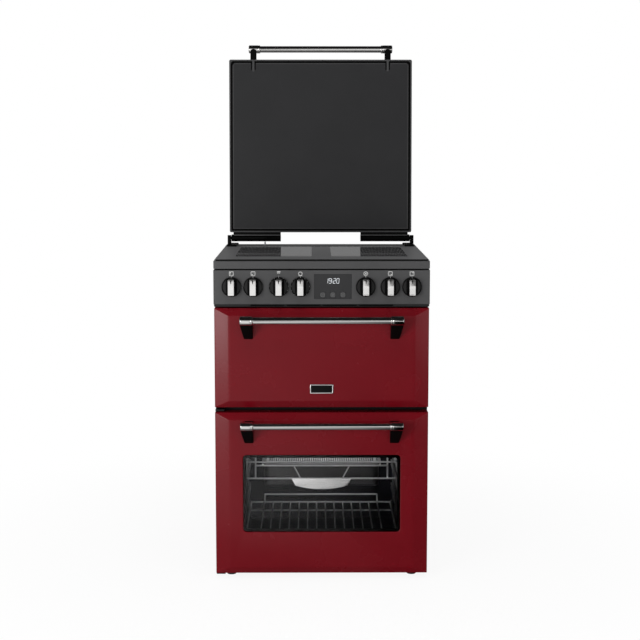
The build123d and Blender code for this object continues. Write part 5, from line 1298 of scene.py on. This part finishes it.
def lid_strip(x, wide, low, high, back, front, edge):
    """Flat strip on the lid with softened edges; the sizes are in millimetres."""
    rows = []
    for inset, out in (
        (0.0, back), (0.0, front - edge), (edge * 0.4, front - edge * 0.2), (edge, front)
    ):
        half_wide, half_long = (wide / 2 - inset) * MM, ((high - low) / 2 - inset) * MM
        across, along = rounded_outline(half_wide, half_long, min(2.0, wide / 4) * MM, 4).T
        rows.append(on_lid_plane(x * MM + across, (low + high) / 2 * MM + along, out * MM))
    return stacked(rows)


class COOKER_OT_lid(bpy.types.Operator):
    """Fit the lid's liner, a near-black strip in the gap round it as painted shade, the post tabs,
    grey strips on the hinge bars as painted highlights, and the screws of its clamps and posts
    """

    bl_idname = "cooker.lid"
    bl_label = "Lid"

    def execute(self, context):
        liner = [
            lid_outline(LINER_BORDER, inset, max(1.6 - inset, 0.4), 9.0 - inset, out, 6.9)
            for inset, out in ((0.0, 8.2), (0.0, 14.5), (0.2, 14.95), (0.7, 15.1), (3.4, 15.1))
        ]
        face = FINISHES["lid_face"]
        made = piece("lid_liner_pressed", stacked(liner), face, "lid", ["lid_liner"])
        # Paler grey on the liner's bent edge: painted highlight.
        second_finish(made.data, FINISHES["liner_highlight"], on_liner_edge)
        # A near-black strip fills the gap between the shell's border and the liner: painted shade
        # of the gap.
        gap_shade_border, gap_shade_inner = 4.6, LINER_BORDER - 4.6
        seal = [
            lid_outline(gap_shade_border, inset, low_corner, 9.0, out)
            for inset, low_corner, out in (
                (0.0, 2.4, 14.8), (0.0, 2.4, 15.0), (0.3, 2.2, 15.12),
                (gap_shade_inner - 0.2, 1.2, 15.12), (gap_shade_inner, 1.0, 15.0), (gap_shade_inner, 1.0, 14.8),
            )
        ]
        piece("lid_gap_shade", stacked(seal, wrap=True), FINISHES["gap"], "lid")
        backwards = (0, math.cos(LID_LEAN), -math.sin(LID_LEAN))
        head = screw_profile(context.scene.cooker_sizes.screw_head)
        tabs, highlight_strips, screws = [], [], []
        for side in (-1, 1):
            tabs.append(lid_strip(side * TAB_X, 6.8, 522.0, 556.5, 14.6, 15.3, 0.3))
            # Grey strips along the upper front of the black hinge bars: painted highlight.
            highlight_strips.append(lid_strip(side * 200.5, 148.0, 7.2, 12.4, 5.0, 13.0, 0.8))
            for x, reach in ((150, 42), (200, 42), (250, 42), (TAB_X, 535)):
                spot = on_lid_plane(side * x * MM, reach * MM, 2 * MM)
                screws.append(turned(head, spot, backwards, 20))
        piece("post_tabs", joined(*tabs), FINISHES["lid_grey"], "lid")
        piece("hinge_bar_highlights", joined(*highlight_strips), FINISHES["grey"], "lid")
        piece("lid_screws", joined(*screws), FINISHES["steel"], "lid")
        return {"FINISHED"}


def screw_profile(diameter):
    """Pan head of a sheet screw as (reach, radius), with its recess in the middle."""
    radius = diameter / 2
    shares = ((0, 1), (0.25, 1), (0.5, 0.72), (0.55, 0.34), (0.2, 0.26), (0.2, 0.02))
    return rounded_profile(np.array(shares) * radius, radius * 0.12, 3)


class COOKER_OT_oven(bpy.types.Operator):
    """Fit the oven lamp, with its ring, its glass and a bright bulb"""

    bl_idname = "cooker.oven"
    bl_label = "Oven"

    def execute(self, context):
        radius = context.scene.cooker_sizes.lamp / 2
        _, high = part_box("main_liner")
        spot = (high.x - 60 * MM, high.y - 1.4 * MM, high.z - 42 * MM)
        base, glass = 3 * MM, radius - 6 * MM
        rim = ((0, radius), (base, radius), (5 * MM, radius - 3 * MM), (base, glass))
        ring = turned(rounded_profile(rim, 1 * MM), spot, FORWARD, 40)
        piece("oven_lamp_ring", ring, FINISHES["steel"], "cooker")

        def dome(tall, wide, steps):
            """Half an ellipse over the ring's base, turned round the lamp's axis."""
            turn = np.linspace(0, math.pi / 2, 10)
            profile = np.stack([base + tall * np.sin(turn), wide * np.cos(turn) + 1e-5], -1)
            return turned(profile, spot, FORWARD, steps)

        shade, bulb = dome(9 * MM, glass, 40), dome(5 * MM, 6 * MM, 24)
        piece("oven_lamp_glass", shade, FINISHES["lamp_glass"], "cooker")
        piece("oven_lamp_bulb", bulb, FINISHES["filament"], "cooker")
        return {"FINISHED"}


class COOKER_OT_back(bpy.types.Operator):
    """Drive the screws of the back panel and of the terminal cover"""

    bl_idname = "cooker.back"
    bl_label = "Back"

    def execute(self, context):
        low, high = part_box("back_panel")
        margin = 12 * MM
        heights = np.linspace(low.z + margin, high.z - margin, 6)
        spots = [(x, high.y, z) for x in (low.x + margin, high.x - margin) for z in heights]
        spots += [(0.0, high.y, z) for z in heights[[0, -1]]]
        low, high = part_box("terminal_cover")
        level = (low.z + high.z) / 2
        spots += [(x, high.y, level) for x in (low.x + 8 * MM, high.x - 8 * MM)]
        head = screw_profile(context.scene.cooker_sizes.screw_head)
        screws = [turned(head, spot, (0, 1, 0), 20) for spot in spots]
        piece("back_screws", joined(*screws), FINISHES["steel"], "cooker")
        return {"FINISHED"}


class COOKER_OT_finishes(bpy.types.Operator):
    """Make the finishes, give them to every carried-over node and roll the edges that show"""

    bl_idname = "cooker.finishes"
    bl_label = "Finishes"

    def execute(self, context):
        FINISHES.update(make_finishes(context.scene.cooker_colours))
        for node, (name, _) in NODE_FINISH.items():
            made = frame["nodes"][node]
            if not made.material_slots:
                made.data.materials.append(None)
            for holder in made.material_slots:
                holder.material = FINISHES[name]
        for node, width in ROLLED.items():
            # The facets of the rack's round wires are not edges
            softened(node, width * MM, 50.0 if node == "door_rack" else 30.0)
        return {"FINISHED"}


# Stage


def area_lamp(name, place, target, size, power, in_metal):
    """Soft lamp at a place, turned to face a target; it shows in reflections or not."""
    data = bpy.data.lights.new(name, "AREA")
    data.shape = "RECTANGLE"
    data.size, data.size_y = size
    data.energy = power
    lamp = placed(name, data)
    lamp.location = place
    direction = Vector(target) - Vector(place)
    lamp.rotation_euler = direction.to_track_quat("-Z", "Y").to_euler()
    lamp.visible_glossy = in_metal


def ramp(tree, value, start, end):
    """Smooth step of a socket from 0 at the start to 1 at the end."""
    made = tree.nodes.new("ShaderNodeMapRange")
    made.interpolation_type = "SMOOTHSTEP"
    made.inputs["From Min"].default_value = start
    made.inputs["From Max"].default_value = end
    tree.links.new(value, made.inputs["Value"])
    return made.outputs["Result"]


def band(tree, value, rise, fall):
    """Smooth band of a socket: it goes up over the rise and comes down over the fall."""
    return product(tree, ramp(tree, value, *rise), ramp(tree, value, *fall))


def studio_world(fill):
    """White world for the camera and through glass. Matt surfaces get an even fill. Reflections
    see a studio that is white low in front, dim grey low behind and dark overhead."""
    world = bpy.data.worlds.new("studio")
    world.use_nodes = True
    tree = world.node_tree
    sky = tree.nodes["Background"]
    sky.inputs["Color"].default_value = (1, 1, 1, 1)
    rays = tree.nodes.new("ShaderNodeLightPath").outputs
    x, y, z = split(tree, tree.nodes.new("ShaderNodeTexCoord").outputs["Generated"])
    low = ramp(tree, z, 0.32, 0.20)
    front = ramp(tree, y, 0.0, -0.4)
    behind = math_node(tree, "SUBTRACT", 1.0, front)
    # The studio is dimmer a little to the right of the front than straight on
    dim = band(tree, x, (-0.02, 0.12), (0.62, 0.5))
    level = math_node(tree, "SUBTRACT", 0.92, product(tree, dim, 0.85))
    white, grey = product(tree, low, front, level), product(tree, low, behind, 0.22)
    mirrored = math_node(tree, "ADD", math_node(tree, "ADD", white, grey), 0.012)
    glossy = product(tree, mirrored, rays["Is Glossy Ray"])
    matt = product(tree, rays["Is Diffuse Ray"], fill)
    seen = math_node(tree, "MAXIMUM", rays["Is Camera Ray"], rays["Is Transmission Ray"])
    strength = math_node(tree, "MAXIMUM", seen, math_node(tree, "ADD", glossy, matt))
    tree.links.new(strength, sky.inputs["Strength"])
    bpy.context.scene.world = world


def floor_material():
    """White floor: it glows for the camera and in metal, and a share of real shading keeps the
    object's shadow. The share fades with the distance from the middle, so no horizon shows."""
    material = finish("pale floor", (0.86, 0.86, 0.86), 900, 0.0, 0.75, spread=0.01)
    tree = material.node_tree
    white = tree.nodes.new("ShaderNodeEmission")
    mix = tree.nodes.new("ShaderNodeMixShader")
    rays = tree.nodes.new("ShaderNodeLightPath").outputs
    place = object_place(tree)
    length = tree.nodes.new("ShaderNodeVectorMath")
    length.operation = "LENGTH"
    tree.links.new(place, length.inputs[0])
    distance = length.outputs["Value"]
    far = ramp(tree, distance, 0.5, 1.6)
    share = math_node(tree, "ADD", 0.91, product(tree, far, 0.09))
    seen = product(tree, rays["Is Camera Ray"], share)
    lit = math_node(tree, "MAXIMUM", seen, rays["Is Glossy Ray"])
    # In reflections the floor is dimmer on the right, as beside one key light, and dark close by
    x, y, _ = split(tree, place)
    right = product(
        tree, band(tree, x, (-0.2, 0.25), (3.2, 2.2)), ramp(tree, distance, 6.5, 4.6)
    )
    close = product(tree, ramp(tree, y, -0.85, -0.6), 0.8)
    dimmed = product(tree, math_node(tree, "MAXIMUM", right, close), rays["Is Glossy Ray"])
    for socket, target in (
        (lit, mix.inputs["Fac"]),
        (math_node(tree, "SUBTRACT", 1.0, dimmed), white.inputs["Strength"]),
        (tree.nodes["Principled BSDF"].outputs["BSDF"], mix.inputs[1]),
        (white.outputs["Emission"], mix.inputs[2]),
        (mix.outputs["Shader"], tree.nodes["Material Output"].inputs["Surface"]),
    ):
        tree.links.new(socket, target)
    return material


class COOKER_OT_stage(bpy.types.Operator):
    """Lay the floor, hang the lamps and set the camera"""

    bl_idname = "cooker.stage"
    bl_label = "Stage"

    def execute(self, context):
        sides = 64
        turn = np.linspace(0, 2 * math.pi, sides, endpoint=False)
        rim = FLOOR_REACH * np.stack([np.cos(turn), np.sin(turn), np.zeros(sides)], -1)
        mesh = bpy.data.meshes.new("floor")
        mesh.from_pydata(rim.tolist(), [], [list(range(sides))])
        mesh.materials.append(floor_material())
        placed("floor", mesh)
        for name, place, size, power, in_metal in LAMPS:
            area_lamp(name, place, LAMP_TARGET, size, power, in_metal)
        low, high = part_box("main_liner")
        ceiling, oven_floor = (0.0, low.y + 0.13, high.z - 0.03), (0.0, low.y + 0.22, low.z)
        area_lamp("oven light", ceiling, oven_floor, (0.30, 0.10), 3.0, False)
        studio_world(MATT_FILL)
        data = bpy.data.cameras.new("camera")
        data.sensor_width = 36.0
        data.lens = FOCAL_LENGTH / PHOTO_WIDTH * data.sensor_width
        data.shift_y = CAMERA_SHIFT
        camera = placed("camera", data)
        camera.location = CAMERA_PLACE
        camera.rotation_euler = [math.radians(angle) for angle in CAMERA_TURN]
        context.scene.camera = camera
        context.scene.view_settings.view_transform = "Standard"
        return {"FINISHED"}


# Panel and start


class COOKER_PT_panel(bpy.types.Panel):
    """Sidebar list of the cooker's builders and values"""

    bl_idname = "COOKER_PT_panel"
    bl_label = "Range cooker"
    bl_space_type = "VIEW_3D"
    bl_region_type = "UI"
    bl_category = "Cooker"

    def draw(self, context):
        for holder in (context.scene.cooker_colours, context.scene.cooker_sizes):
            for name in holder.__annotations__:
                self.layout.prop(holder, name)
        for operator in OPERATORS:
            self.layout.operator(operator.bl_idname)


OPERATORS = (
    COOKER_OT_finishes,
    COOKER_OT_doors,
    COOKER_OT_handles,
    COOKER_OT_controls,
    COOKER_OT_clock,
    COOKER_OT_hob,
    COOKER_OT_lid,
    COOKER_OT_oven,
    COOKER_OT_back,
    COOKER_OT_stage,
)
CLASSES = (CookerColours, CookerSizes, *OPERATORS, COOKER_PT_panel)


def register():
    """Register the classes and hang their values on the scene."""
    for kind in CLASSES:
        bpy.utils.register_class(kind)
    bpy.types.Scene.cooker_colours = PointerProperty(type=CookerColours)
    bpy.types.Scene.cooker_sizes = PointerProperty(type=CookerSizes)


def unregister():
    """Take the values and classes away again."""
    del bpy.types.Scene.cooker_sizes
    del bpy.types.Scene.cooker_colours
    for kind in reversed(CLASSES):
        bpy.utils.unregister_class(kind)


def main():
    """Build everything in order."""
    register()
    for operator in OPERATORS:
        group_name, action = operator.bl_idname.split(".")
        getattr(getattr(bpy.ops, group_name), action)()


if __name__ == "__main__":
    main()
